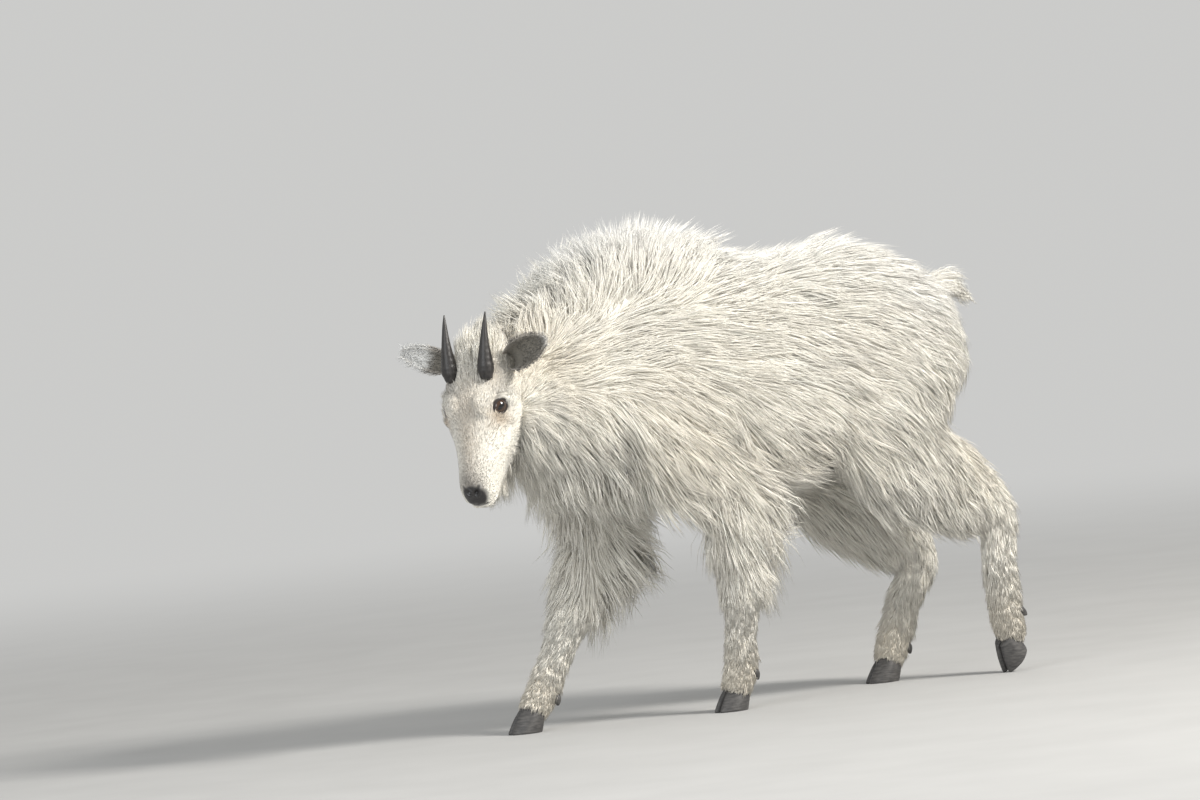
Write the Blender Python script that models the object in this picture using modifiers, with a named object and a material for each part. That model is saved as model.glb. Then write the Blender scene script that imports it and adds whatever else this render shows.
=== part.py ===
"""A mountain goat kid of about five months, life size, walking with its head low and turned to its left.

Metres, +Z up. The goat faces -X and its left side is at -Y. The origin is on the floor, below the middle
of its box.
"""

import math

import bmesh
import bpy
import numpy as np
from mathutils import Matrix, Vector
from mathutils.bvhtree import BVHTree

# Joint centres of the legs, as (along, out from the middle, height)
SIDES = {"left": -1.0, "right": 1.0}
FORELEG = {
    "left": {
        "withers": (-0.105, 0.060, 0.545),
        "shoulder": (-0.165, 0.070, 0.410),
        "elbow": (-0.062, 0.080, 0.292),
        "knee": (-0.063, 0.075, 0.152),
        "fetlock": (-0.071, 0.070, 0.058),
        "foot": (-0.083, 0.068, 0.026),
    },
    "right": {
        "withers": (-0.120, 0.060, 0.545),
        "shoulder": (-0.200, 0.068, 0.405),
        "elbow": (-0.190, 0.074, 0.262),
        "knee": (-0.268, 0.062, 0.130),
        "fetlock": (-0.312, 0.056, 0.056),
        "foot": (-0.336, 0.052, 0.027),
    },
}
HINDLEG = {
    "left": {
        "hip": (0.236, 0.066, 0.475),
        "stifle": (0.185, 0.084, 0.345),
        "hock": (0.340, 0.083, 0.222),
        "fetlock": (0.350, 0.075, 0.083),
        "foot": (0.358, 0.071, 0.046),
    },
    "right": {
        "hip": (0.246, 0.066, 0.475),
        "stifle": (0.165, 0.083, 0.325),
        "hock": (0.300, 0.076, 0.168),
        "fetlock": (0.246, 0.066, 0.056),
        "foot": (0.230, 0.062, 0.026),
    },
}

# Half thickness of each leg in its fur, as (fore and aft, across)
FORELEG_GIRTH = {
    "withers": (0.055, 0.026),
    "shoulder": (0.068, 0.044),
    "elbow": (0.050, 0.038),
    "knee": (0.029, 0.027),
    "fetlock": (0.027, 0.027),
    "foot": (0.024, 0.026),
}
HINDLEG_GIRTH = {
    "hip": (0.088, 0.044),
    "stifle": (0.082, 0.043),
    "hock": (0.034, 0.026),
    "fetlock": (0.028, 0.027),
    "foot": (0.024, 0.026),
}
FOREARM_SWELL = 0.40
GASKIN_SWELL = 0.62
SWELL_SIZE = 1.04
CANNON_WAIST = 0.94

# The trunk and neck under the long coat, as (along, back, belly, half width, sideways)
TRUNK = (
    (-0.376, 0.505, 0.428, 0.036, -0.018),
    (-0.355, 0.536, 0.396, 0.058, -0.013),
    (-0.310, 0.570, 0.362, 0.080, -0.006),
    (-0.260, 0.604, 0.338, 0.092, -0.001),
    (-0.200, 0.632, 0.318, 0.102, 0.0),
    (-0.130, 0.646, 0.306, 0.109, 0.0),
    (-0.060, 0.634, 0.302, 0.113, 0.0),
    (0.010, 0.609, 0.300, 0.118, 0.0),
    (0.080, 0.603, 0.302, 0.121, 0.0),
    (0.150, 0.611, 0.316, 0.118, 0.0),
    (0.215, 0.601, 0.338, 0.108, 0.0),
    (0.275, 0.573, 0.364, 0.094, 0.0),
    (0.315, 0.540, 0.392, 0.074, 0.0),
    (0.332, 0.505, 0.425, 0.045, 0.0),
)
TRUNK_SQUARENESS = 2.3
BACK_NARROWER = 0.16
RING_POINTS = 20
LEG_POINTS = 12

# How the lofts become one smooth body
VOXEL = 0.0065
SMOOTH_STEPS = 6
BODY_TRIANGLES = 1800

# The head's own frame starts midway between the eyes: along the muzzle, to its left, and out of the forehead
HEAD_CENTRE = Vector((-0.421, -0.045, 0.455))
HEAD_TURN = math.radians(34)
HEAD_DROP = math.radians(77)

# The head as (along, forehead side, throat side, half width, widest level)
HEAD = (
    (-0.098, -0.022, -0.046, 0.014, -0.034),
    (-0.092, -0.008, -0.062, 0.028, -0.034),
    (-0.078, 0.006, -0.078, 0.039, -0.032),
    (-0.055, 0.018, -0.090, 0.046, -0.028),
    (-0.028, 0.025, -0.098, 0.0510, -0.022),
    (0.000, 0.026, -0.100, 0.0515, -0.018),
    (0.024, 0.0235, -0.096, 0.0470, -0.022),
    (0.046, 0.0205, -0.086, 0.0370, -0.026),
    (0.068, 0.0185, -0.073, 0.0300, -0.023),
    (0.088, 0.0175, -0.060, 0.0262, -0.017),
    (0.104, 0.0160, -0.049, 0.0250, -0.013),
    (0.118, 0.0105, -0.043, 0.0240, -0.013),
    (0.128, 0.0020, -0.037, 0.0190, -0.015),
    (0.134, -0.0080, -0.030, 0.0105, -0.018),
)
HEAD_SQUARENESS = 2.25
HEAD_POINTS = 24
HEAD_VOXEL = 0.0030
HEAD_TRIANGLES = 1150
HEAD_SMOOTH_STEPS = 7

# The eye's ball, the lids over it and the opening between them, as (long, high)
EYE_PLACE = (0.001, 0.0354, 0.0000)
EYE_LOOK = Vector((0.12, 0.80, 0.58))
EYE_RADIUS = 0.0125
ORBIT_SIZE = (0.0260, 0.0360, 0.0166)
ORBIT_SUNK = 0.0026
LID_OPENING = (0.0104, 0.0076)
LID_RINGS = ((0.002, 1.0), (0.0125, 1.04), (0.030, 1.70))
LID_POINTS = 14
LID_CORNER = 0.25

HORN_BASE = Vector((-0.047, 0.028, 0.0187))
HORN_TIP = Vector((-0.1244, 0.032, 0.0307))
HORN_BEND = 0.004
HORN_RADII = (0.0120, 0.0122, 0.0112, 0.0096, 0.0078, 0.0059, 0.0040, 0.0012)
HORN_SUNK = 0.012
HORN_SIDES = 12

EAR_BASE = Vector((-0.066, 0.042, -0.031))
EAR_TIP = Vector((-0.0835, 0.1115, 0.004))
EAR_WIDTHS = (0.0085, 0.0130, 0.0178, 0.0195, 0.0180, 0.0125, 0.0040)
EAR_CUP = (2.6, 2.15, 1.65, 1.35, 1.15, 0.95, 0.8)
EAR_ACROSS = 8
EAR_FACING = (0.10, 0.25, 1.0)
EAR_BUNCHING = 0.92
EAR_THICKNESS = 0.0036
EAR_SUNK = 0.010

# The mouth runs round the muzzle at this slope, as (angle from the front, out of the forehead)
MOUTH_ARC = math.radians(74)
MOUTH_FRONT = -0.010
MOUTH_CORNER = -0.024
MOUTH_CURVE = 1.4
MOUTH_CENTRE = 0.108
MOUTH_RADIUS = 0.0014
MOUTH_SIDES = 4
MOUTH_THINNING = 0.30
LIP_RADIUS = 0.0042
LIP_SHIFTS = (0.0052, -0.0050)
LIP_SUNK = 0.55
LIP_THINNING = 0.45
LIP_POINTS = 9
NOSTRIL = ((0.1175, 0.0055, 0.0060), (0.1145, 0.0100, 0.0105), (0.1085, 0.0135, 0.0125))
NOSTRIL_RADII = (0.0012, 0.0026, 0.0017)
NOSTRIL_SIDES = 5

# The tail under its tuft, as (along, height) and the half thickness there
TAIL = ((0.305, 0.520), (0.338, 0.545), (0.360, 0.546), (0.374, 0.540))
TAIL_RADII = (0.026, 0.018, 0.013, 0.006)

# A toe's hoof, by rings from the sole up, as (height, shift back, size)
HOOF_LENGTH = 0.044
HOOF_WIDTH = 0.0205
HOOF_RINGS = (
    (0.0, 0.0, 0.97),
    (0.004, 0.0010, 1.0),
    (0.020, 0.0078, 0.90),
    (0.034, 0.0140, 0.70),
)
HOOF_POINTS = 10
HOOF_TAPER = 0.45
HOOF_ROUND = (0.62, 0.38)
HOOF_FLARE = 0.2
TOE_SINK = 0.0012
TOE_SPREAD = 0.0022
TOE_SPLAY = math.radians(4)
HOOF_TURN = {"fore_left": 6, "fore_right": 4, "hind_left": 8, "hind_right": 6}
HOOF_TIP = {"fore_left": 0, "fore_right": 0, "hind_left": 47, "hind_right": 0}
DEWCLAW_RADII = (0.0055, 0.0062, 0.0018)
DEWCLAW_LENGTH = 0.021
DEWCLAW_SPREAD = 0.0120
DEWCLAW_BACK = 0.0200
DEWCLAW_WAY = (0.75, 0.62, 0.10)
DEWCLAW_SIDES = 6
HOOF_AHEAD = {"fore_left": 0.010, "fore_right": 0.014, "hind_left": -0.006, "hind_right": 0.012}
FLOOR_CUT = ((0.0, 0.0, 0.0), (0.0, 0.0, -1.0), (0.1, -0.5, 0.5, 0.6, 0.6))

# Cuts that part the body, as (point, forward, (length, across from, across to, below, above))
HEAD_CUT = ((-0.336, 0.0, 0.426), (-0.932, -0.285, -0.225), (0.30, -0.22, 0.20, 0.25, 0.34))
TAIL_CUT = ((0.336, 0.0, 0.545), (0.955, 0.0, 0.297), (0.16, -0.09, 0.09, 0.028, 0.11))
FORELEG_CUT = {
    "left": ((-0.075, 0.0, 0.291), (0.0, 0.0, -1.0), (0.34, 0.0, 0.24, 0.140, 0.150)),
    "right": ((-0.190, 0.0, 0.291), (-0.5, 0.0, -0.866), (0.42, 0.0, 0.24, 0.125, 0.125)),
}
HINDLEG_BOX = ((0.230, 0.0, 0.355), (0.547, 0.0, -0.837), (0.60, 0.0, 0.24, 0.19, 0.34))
HINDLEG_CUT = {"left": HINDLEG_BOX, "right": HINDLEG_BOX}
KNEE_CUT = {
    "left": ((-0.063, 0.0, 0.160), (0.0, 0.0, -1.0)),
    "right": ((-0.262, 0.0, 0.140), (-0.5, 0.0, -0.866)),
}
HOCK_CUT = {
    "left": ((0.340, 0.0, 0.205), (0.08, 0.0, -0.997)),
    "right": ((0.292, 0.0, 0.150), (-0.42, 0.0, -0.907)),
}
SHANK_SIZE = (0.26, 0.0, 0.20, 0.14, 0.14)

# The lie of the long coat: ((along, out, height), (lie), length, (rise at root, rise at tip), width, spacing)
COAT_LIE = (
    ((-0.355, 0.000, 0.545), (-1.0, 0.0, 0.5), 0.044, (60, 52), 0.036, 0.027),
    ((-0.310, 0.000, 0.572), (-1.0, 0.0, 0.6), 0.051, (70, 60), 0.042, 0.030),
    ((-0.250, 0.000, 0.610), (-1.0, 0.0, 0.5), 0.051, (76, 66), 0.044, 0.031),
    ((-0.190, 0.000, 0.636), (-1.0, 0.0, 0.2), 0.046, (84, 76), 0.047, 0.032),
    ((-0.130, 0.000, 0.646), (1.0, 0.0, 0.0), 0.044, (84, 62), 0.047, 0.033),
    ((-0.060, 0.000, 0.634), (1.0, 0.0, -0.3), 0.051, (62, 36), 0.049, 0.035),
    ((0.005, 0.000, 0.610), (1.0, 0.0, 0.0), 0.068, (36, 16), 0.047, 0.046),
    ((0.080, 0.000, 0.603), (1.0, 0.0, 0.0), 0.105, (16, 6), 0.066, 0.053),
    ((0.160, 0.000, 0.611), (1.0, 0.0, 0.0), 0.105, (13, 5), 0.066, 0.053),
    ((0.240, 0.000, 0.590), (1.0, 0.0, -0.3), 0.095, (13, 5), 0.063, 0.052),
    ((0.305, 0.000, 0.550), (1.0, 0.0, 0.1), 0.077, (12, 6), 0.041, 0.037),
    ((0.332, 0.000, 0.490), (0.3, 0.0, -1.0), 0.072, (12, 5), 0.049, 0.043),
    ((-0.335, 0.055, 0.545), (-0.2, 0.1, 1.0), 0.066, (30, 22), 0.038, 0.038),
    ((-0.270, 0.065, 0.580), (-0.3, 0.0, 1.0), 0.090, (20, 14), 0.052, 0.043),
    ((-0.190, 0.075, 0.610), (0.1, 0.0, 1.0), 0.087, (20, 14), 0.054, 0.045),
    ((-0.110, 0.080, 0.615), (0.6, 0.0, 0.7), 0.087, (20, 12), 0.057, 0.047),
    ((-0.030, 0.085, 0.600), (1.0, 0.1, 0.2), 0.105, (16, 7), 0.066, 0.053),
    ((0.100, 0.090, 0.575), (1.0, 0.2, -0.3), 0.120, (12, 4), 0.071, 0.059),
    ((0.230, 0.080, 0.560), (1.0, 0.0, -0.5), 0.102, (12, 4), 0.066, 0.053),
    ((-0.345, 0.060, 0.490), (0.6, 0.5, 0.1), 0.077, (17, 9), 0.049, 0.041),
    ((-0.280, 0.088, 0.510), (1.0, 0.2, 0.2), 0.105, (14, 6), 0.063, 0.051),
    ((-0.200, 0.100, 0.520), (1.0, 0.1, -0.1), 0.123, (13, 5), 0.069, 0.055),
    ((-0.090, 0.108, 0.510), (1.0, 0.0, -0.3), 0.133, (12, 4), 0.074, 0.061),
    ((0.020, 0.116, 0.490), (1.0, 0.0, -0.4), 0.136, (12, 4), 0.074, 0.062),
    ((0.130, 0.118, 0.480), (1.0, 0.0, -0.5), 0.128, (11, 4), 0.074, 0.061),
    ((0.220, 0.110, 0.490), (0.8, 0.0, -0.7), 0.110, (11, 4), 0.069, 0.055),
    ((0.290, 0.085, 0.480), (0.6, -0.2, -0.9), 0.090, (11, 4), 0.057, 0.050),
    ((-0.345, 0.045, 0.430), (0.5, 0.2, -0.9), 0.077, (19, 11), 0.049, 0.040),
    ((-0.300, 0.075, 0.410), (0.6, 0.1, -0.9), 0.105, (17, 9), 0.057, 0.047),
    ((-0.210, 0.095, 0.420), (0.6, 0.0, -0.9), 0.125, (14, 7), 0.066, 0.053),
    ((-0.110, 0.106, 0.400), (0.6, 0.0, -0.9), 0.131, (13, 6), 0.069, 0.055),
    ((0.000, 0.114, 0.390), (0.8, 0.0, -0.7), 0.131, (12, 6), 0.071, 0.059),
    ((0.110, 0.116, 0.390), (0.8, 0.0, -0.7), 0.123, (12, 6), 0.071, 0.059),
    ((0.200, 0.112, 0.400), (0.5, 0.0, -0.9), 0.102, (12, 5), 0.066, 0.053),
    ((0.280, 0.095, 0.400), (0.3, 0.0, -1.0), 0.087, (12, 4), 0.057, 0.050),
    ((-0.300, 0.020, 0.362), (0.5, 0.0, -0.9), 0.079, (44, 34), 0.042, 0.038),
    ((-0.240, 0.040, 0.332), (0.2, 0.0, -1.0), 0.092, (34, 24), 0.045, 0.041),
    ((-0.150, 0.050, 0.308), (1.0, 0.0, -0.2), 0.077, (32, 18), 0.047, 0.046),
    ((-0.020, 0.060, 0.300), (1.0, 0.0, 0.0), 0.095, (17, 7), 0.063, 0.053),
    ((0.080, 0.060, 0.302), (1.0, 0.0, 0.0), 0.090, (17, 7), 0.063, 0.053),
    ((0.170, 0.050, 0.322), (0.9, 0.0, -0.2), 0.077, (19, 9), 0.054, 0.050),
    ((-0.110, 0.110, 0.290), (0.3, 0.0, -1.0), 0.123, (13, 7), 0.054, 0.043),
    ((-0.060, 0.118, 0.262), (0.2, 0.0, -1.0), 0.113, (12, 6), 0.052, 0.043),
    ((-0.030, 0.085, 0.250), (0.6, 0.0, -0.8), 0.112, (26, 18), 0.046, 0.035),
    ((-0.045, 0.078, 0.200), (0.5, 0.0, -0.9), 0.086, (24, 14), 0.041, 0.034),
    ((-0.090, 0.080, 0.205), (-0.1, 0.0, -1.0), 0.067, (10, 4), 0.044, 0.043),
    ((-0.215, 0.105, 0.250), (-0.3, 0.0, -1.0), 0.104, (20, 12), 0.049, 0.041),
    ((-0.160, 0.080, 0.245), (0.5, 0.0, -0.8), 0.099, (34, 24), 0.040, 0.036),
    ((-0.190, 0.070, 0.200), (0.3, 0.0, -0.9), 0.088, (32, 20), 0.038, 0.035),
    ((-0.260, 0.070, 0.200), (-0.5, 0.0, -0.9), 0.080, (22, 13), 0.044, 0.041),
    ((0.120, 0.095, 0.330), (0.3, 0.0, -1.0), 0.102, (20, 14), 0.052, 0.043),
    ((0.150, 0.090, 0.285), (0.5, 0.0, -0.9), 0.092, (34, 26), 0.042, 0.037),
    ((0.200, 0.100, 0.290), (0.4, 0.0, -0.9), 0.108, (16, 9), 0.052, 0.044),
    ((0.235, 0.085, 0.250), (0.5, 0.0, -0.9), 0.082, (19, 10), 0.046, 0.036),
    ((0.250, 0.112, 0.320), (0.4, 0.0, -0.9), 0.092, (12, 5), 0.054, 0.050),
    ((0.320, 0.080, 0.330), (0.4, 0.0, -0.9), 0.079, (12, 4), 0.052, 0.047),
    ((0.345, 0.080, 0.260), (0.4, 0.0, -0.9), 0.064, (10, 4), 0.044, 0.041),
)

# The tail's tuft fans from its upper side round its tip, in the same form as the coat's lie
TAIL_LIE = (
    ((0.340, 0.000, 0.565), (1.0, 0.0, 0.5), 0.046, (24, 14), 0.016, 0.014),
    ((0.370, 0.000, 0.545), (1.0, 0.0, -0.1), 0.040, (40, 30), 0.015, 0.013),
    ((0.350, 0.015, 0.540), (0.9, 0.3, -0.4), 0.048, (26, 14), 0.016, 0.014),
    ((0.350, 0.000, 0.525), (0.7, 0.0, -0.7), 0.052, (28, 16), 0.016, 0.014),
)

# The beard and cheek hair, in the head's own frame
HEAD_LIE = (
    ((0.110, 0.000, -0.048), (1.0, 0.0, -0.5), 0.032, (38, 20), 0.023, 0.0215),
    ((0.085, 0.000, -0.064), (1.0, 0.0, -0.6), 0.050, (42, 30), 0.030, 0.0255),
    ((0.055, 0.000, -0.080), (0.9, 0.0, -0.6), 0.060, (42, 32), 0.035, 0.0300),
    ((0.020, 0.000, -0.095), (0.9, 0.0, -0.5), 0.066, (38, 26), 0.039, 0.034),
    ((0.080, 0.022, -0.050), (0.9, 0.2, -0.8), 0.044, (18, 12), 0.030, 0.0270),
    ((0.050, 0.030, -0.060), (0.8, 0.2, -0.8), 0.060, (18, 12), 0.036, 0.031),
    ((0.015, 0.038, -0.066), (0.8, 0.3, -0.6), 0.068, (18, 12), 0.041, 0.036),
    ((-0.030, 0.042, -0.066), (0.5, 0.5, -0.7), 0.058, (20, 14), 0.040, 0.038),
    ((-0.080, 0.000, 0.006), (-1.0, 0.0, 0.4), 0.040, (46, 40), 0.028, 0.026),
)

# The beard grows below this line of the jaw, the forelock behind the poll. Hair keeps clear of the rest
BEARD_TOP = -0.036
BEARD_SLOPE = -0.16
BEARD_FROM = 0.112
BEARD_TO = -0.070
POLL = (-0.072, -0.030)
EAR_CLEAR = 0.018
HORN_CLEAR = 0.013
EYE_CLEAR = 0.019
FLOOR_CLEAR = 0.010
INNER_BARE = 0.056

# How a lock is drawn: where along it each ring lies, and its width and height there
LOCK_STEPS = (0.36, 0.72, 1.0)
LOCK_WIDTHS = (0.80, 1.0, 0.72, 0.0)
LOCK_DEPTH = 0.13
LOCK_HUG = (0.0, 0.55, 0.75, 1.0)
LOCK_SUNK = 0.011
LOCK_CLEAR = 0.004
HUG_REACH = 0.026
LOCK_DARTS = 6000
LIE_BLUR = 0.012
LOCK_VARIETY = 0.16
LOCK_TURN = 0.22
LOCK_SHORTER = (1.0, 0.86, 0.72, 0.58)
LOCK_LEAN = 0.3
LOCK_MARGIN = 0.5
LIE_SHARPNESS = 3

# The gap between nodes, what locks are trimmed to in it, and how much further sharp edges move out to keep it
GAP = 0.0003
TRIM = 0.0002
EDGE_GROWTH = 1.5

rng = np.random.default_rng(5)


def collection(name):
    """A new collection in the scene."""
    made = bpy.data.collections.new(name)
    bpy.context.scene.collection.children.link(made)
    return made


def cutters():
    """The hidden collection that the cutting shapes are made in."""
    found = bpy.data.collections.get("cutters")
    if found is None:
        found = collection("cutters")
        found.hide_render = True
    return found


def plain_material(name, colour, roughness):
    """A Principled material of one colour."""
    material = bpy.data.materials.new(name)
    material.use_nodes = True
    shader = material.node_tree.nodes["Principled BSDF"]
    shader.inputs["Base Color"].default_value = (*colour, 1.0)
    shader.inputs["Roughness"].default_value = roughness
    material.diffuse_color = (*colour, 1.0)
    return material


def mesh_object(name, points, faces, group):
    """An object of a mesh whose faces are made to point outwards."""
    mesh = bpy.data.meshes.new(name)
    mesh.from_pydata([tuple(p) for p in points], [], [tuple(f) for f in faces])
    shape = bmesh.new()
    shape.from_mesh(mesh)
    bmesh.ops.recalc_face_normals(shape, faces=shape.faces)
    bmesh.ops.triangulate(shape, faces=shape.faces)
    shape.to_mesh(mesh)
    shape.free()
    made = bpy.data.objects.new(name, mesh)
    group.objects.link(made)
    return made


def loft(name, rings, group):
    """A closed body through rings of equally many points, capped at both ends."""
    rings = np.asarray(rings, float)
    count, around = rings.shape[:2]
    faces = []
    for i in range(count - 1):
        for j in range(around):
            k = (j + 1) % around
            faces.append((i * around + j, i * around + k, (i + 1) * around + k, (i + 1) * around + j))
    faces.append(tuple(range(around)))
    faces.append(tuple((count - 1) * around + j for j in range(around)))
    return mesh_object(name, rings.reshape(-1, 3), faces, group)


def pointed(name, rings, tip, group):
    """A closed body through rings of equally many points, capped at its root and drawn to a point."""
    around = len(rings[0])
    faces = [tuple(range(around))]
    for i in range(len(rings) - 1):
        for j in range(around):
            k = (j + 1) % around
            faces.append((i * around + j, i * around + k, (i + 1) * around + k, (i + 1) * around + j))
    last = (len(rings) - 1) * around
    faces += [(last + j, last + (j + 1) % around, last + around) for j in range(around)]
    return mesh_object(name, [point for ring in rings for point in ring] + [tip], faces, group)


def applied(target):
    """Replaces the object's mesh by what its modifiers make of it."""
    graph = bpy.context.evaluated_depsgraph_get()
    mesh = bpy.data.meshes.new_from_object(target.evaluated_get(graph))
    old = target.data
    target.modifiers.clear()
    target.data = mesh
    bpy.data.meshes.remove(old)
    return target


def combine(target, operand, operation, solver="EXACT"):
    """Applies one Boolean of target with operand, an object or a collection, which is then removed."""
    modifier = target.modifiers.new(operation, "BOOLEAN")
    modifier.operation = operation
    modifier.solver = solver
    if isinstance(operand, bpy.types.Collection):
        modifier.operand_type = "COLLECTION"
        modifier.collection = operand
        operands = list(operand.objects)
    else:
        modifier.object = operand
        operands = [operand]
    applied(target)
    for one in operands:
        bpy.data.objects.remove(one)
    return keep_largest(target)


def keep_largest(target):
    """Keeps only the largest closed surface of the object."""
    shape = bmesh.new()
    shape.from_mesh(target.data)
    bmesh.ops.remove_doubles(shape, verts=shape.verts, dist=1e-6)
    left = set(shape.verts)
    islands = []
    while left:
        front = [left.pop()]
        island = list(front)
        while front:
            grown = [e.other_vert(v) for v in front for e in v.link_edges]
            front = [v for v in dict.fromkeys(grown) if v in left]
            left.difference_update(front)
            island += front
        islands.append(island)
    islands.sort(key=len, reverse=True)
    for island in islands[1:]:
        bmesh.ops.delete(shape, geom=island, context="VERTS")
    shape.to_mesh(target.data)
    shape.free()
    return target


def copy_of(source, name, group):
    """A copy of the object with its own mesh."""
    made = bpy.data.objects.new(name, source.data.copy())
    group.objects.link(made)
    return made


def remeshed(target, voxel, steps, triangles):
    """Fuses what the object holds into one skin, smooths it and thins it to about that many triangles."""
    fuse = target.modifiers.new("fuse", "REMESH")
    fuse.mode = "VOXEL"
    fuse.voxel_size = voxel
    smooth = target.modifiers.new("smooth", "SMOOTH")
    smooth.factor = 0.5
    smooth.iterations = steps
    applied(target)
    found = sum(len(p.vertices) - 2 for p in target.data.polygons)
    thin = target.modifiers.new("thin", "DECIMATE")
    thin.ratio = min(1.0, triangles / found)
    return keep_largest(applied(target))


def joined(name, pieces, group):
    """One object that holds the meshes of all the pieces, which are removed."""
    points = []
    faces = []
    for piece in pieces:
        start = len(points)
        points += [tuple(v.co) for v in piece.data.vertices]
        faces += [tuple(start + i for i in p.vertices) for p in piece.data.polygons]
        bpy.data.objects.remove(piece)
    mesh = bpy.data.meshes.new(name)
    mesh.from_pydata(points, [], faces)
    made = bpy.data.objects.new(name, mesh)
    group.objects.link(made)
    return made


def superellipse(count, power):
    """Points (cos, sin) round a unit circle that is squared up by power."""
    turn = np.arange(count) * 2 * math.pi / count
    cosine, sine = np.cos(turn), np.sin(turn)
    return (
        np.sign(cosine) * np.abs(cosine) ** (2 / power),
        np.sign(sine) * np.abs(sine) ** (2 / power),
    )


def trunk_rings():
    """Upright ovals along the trunk and neck, each through its back, belly and half width."""
    across, up = superellipse(RING_POINTS, TRUNK_SQUARENESS)
    rings = []
    for along, back, belly, half, sideways in TRUNK:
        height = (back + belly) / 2 + up * (back - belly) / 2
        narrower = 1 - BACK_NARROWER * np.clip(up, 0, 1)
        width = sideways + across * half * narrower
        rings.append(np.stack([np.full(RING_POINTS, along), width, height], -1))
    return rings


def tube_rings(centres, girths, front, sides=LEG_POINTS):
    """Ovals square to a chain of centres. A girth is the half thickness towards front, then across it."""
    centres = [Vector(c) for c in centres]
    across_turn, front_turn = superellipse(sides, 2.0)
    rings = []
    for i, centre in enumerate(centres):
        axis = (centres[min(i + 1, len(centres) - 1)] - centres[max(i - 1, 0)]).normalized()
        ahead = (front - axis * front.dot(axis)).normalized()
        side = axis.cross(ahead)
        deep, wide = girths[i]
        rings.append([centre + ahead * deep * f + side * wide * c for c, f in zip(across_turn, front_turn)])
    return rings


def leg_chain(joints, girths, swell_after, swell, side):
    """The centres and girths of a leg, with its swollen upper length and its narrow cannon put in."""
    names = list(joints)
    centres = []
    sizes = []
    for name, following in zip(names, names[1:] + [None]):
        place = Vector(joints[name]) * Vector((1, side, 1))
        centres.append(place)
        sizes.append(girths[name])
        if following is None:
            continue
        after = Vector(joints[following]) * Vector((1, side, 1))
        mean = [(a + b) / 2 for a, b in zip(girths[name], girths[following])]
        if name == swell_after:
            centres.append(place.lerp(after, swell))
            sizes.append([m * SWELL_SIZE for m in mean])
        if following == "fetlock":
            centres.append(place.lerp(after, 0.5))
            sizes.append([m * CANNON_WAIST for m in mean])
    return centres, sizes


def body_core(group):
    """The trunk, neck, legs and tail in one smooth skin."""
    pieces = [loft("trunk", trunk_rings(), group)]
    fore = Vector((-1, 0, 0))
    for side, sign in SIDES.items():
        chain = leg_chain(FORELEG[side], FORELEG_GIRTH, "elbow", FOREARM_SWELL, sign)
        pieces.append(loft("foreleg", tube_rings(*chain, fore), group))
        chain = leg_chain(HINDLEG[side], HINDLEG_GIRTH, "stifle", GASKIN_SWELL, sign)
        pieces.append(loft("hindleg", tube_rings(*chain, fore), group))
    tail = [(along, 0, height) for along, height in TAIL]
    girths = [(r, r) for r in TAIL_RADII]
    pieces.append(loft("tail_core", tube_rings(tail, girths, Vector((0, 0, 1))), group))
    return remeshed(joined("body", pieces, group), VOXEL, SMOOTH_STEPS, BODY_TRIANGLES)


def head_frame():
    """The matrix from the head's own frame (muzzle, left, forehead) to the goat's."""
    level = Vector((-math.cos(HEAD_TURN), -math.sin(HEAD_TURN), 0))
    up = Vector((0, 0, 1))
    muzzle = level * math.cos(HEAD_DROP) - up * math.sin(HEAD_DROP)
    forehead = level * math.sin(HEAD_DROP) + up * math.cos(HEAD_DROP)
    turn = Matrix((muzzle, forehead.cross(muzzle), forehead)).transposed().to_4x4()
    return Matrix.Translation(HEAD_CENTRE) @ turn


def moved(target, matrix):
    """Moves the points of the object's mesh by the matrix."""
    target.data.transform(matrix)
    return target


def mirrored(point, sign):
    """A point of the head's frame on the side that sign gives, +1 for the left."""
    return Vector((point[0], point[1] * sign, point[2]))


def ball(name, centre, radii, group, around=12, rows=8, axis=Vector((0, 0, 1))):
    """A ball or an egg round centre, its poles on axis."""
    shape = bmesh.new()
    bmesh.ops.create_uvsphere(shape, u_segments=around, v_segments=rows, radius=1.0)
    turn = axis.to_track_quat("Z", "Y").to_matrix().to_4x4()
    place = Matrix.Translation(centre) @ turn @ Matrix.Diagonal((*radii, 1.0))
    bmesh.ops.transform(shape, matrix=place, verts=shape.verts)
    mesh = bpy.data.meshes.new(name)
    shape.to_mesh(mesh)
    shape.free()
    made = bpy.data.objects.new(name, mesh)
    group.objects.link(made)
    return made


def tapered(name, points, radii, group, sides=10, grow=0.0):
    """A round tube through the points with its own radius at each, closed at both ends."""
    front = Vector((0.3, 0.1, 1.0))
    girths = [(r + grow, r + grow) for r in radii]
    return loft(name, tube_rings(points, girths, front, sides), group)


def muzzle_line(surface, shift, inward):
    """Points round the muzzle on its surface at the mouth's height plus shift, found by rays from inside."""
    points = []
    for step in np.linspace(-1, 1, LIP_POINTS):
        angle = step * MOUTH_ARC
        height = MOUTH_FRONT + (MOUTH_CORNER - MOUTH_FRONT) * abs(step) ** MOUTH_CURVE + shift
        start = Vector((MOUTH_CENTRE, 0, height))
        way = Vector((math.cos(angle), math.sin(angle), 0))
        hit = surface.ray_cast(start, way)[0]
        points.append(hit - way * inward)
    return points


def surface_of(target):
    """A tree of the object's faces for rays and nearest points."""
    mesh = target.data
    return BVHTree.FromPolygons([v.co for v in mesh.vertices], [tuple(p.vertices) for p in mesh.polygons])


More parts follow.
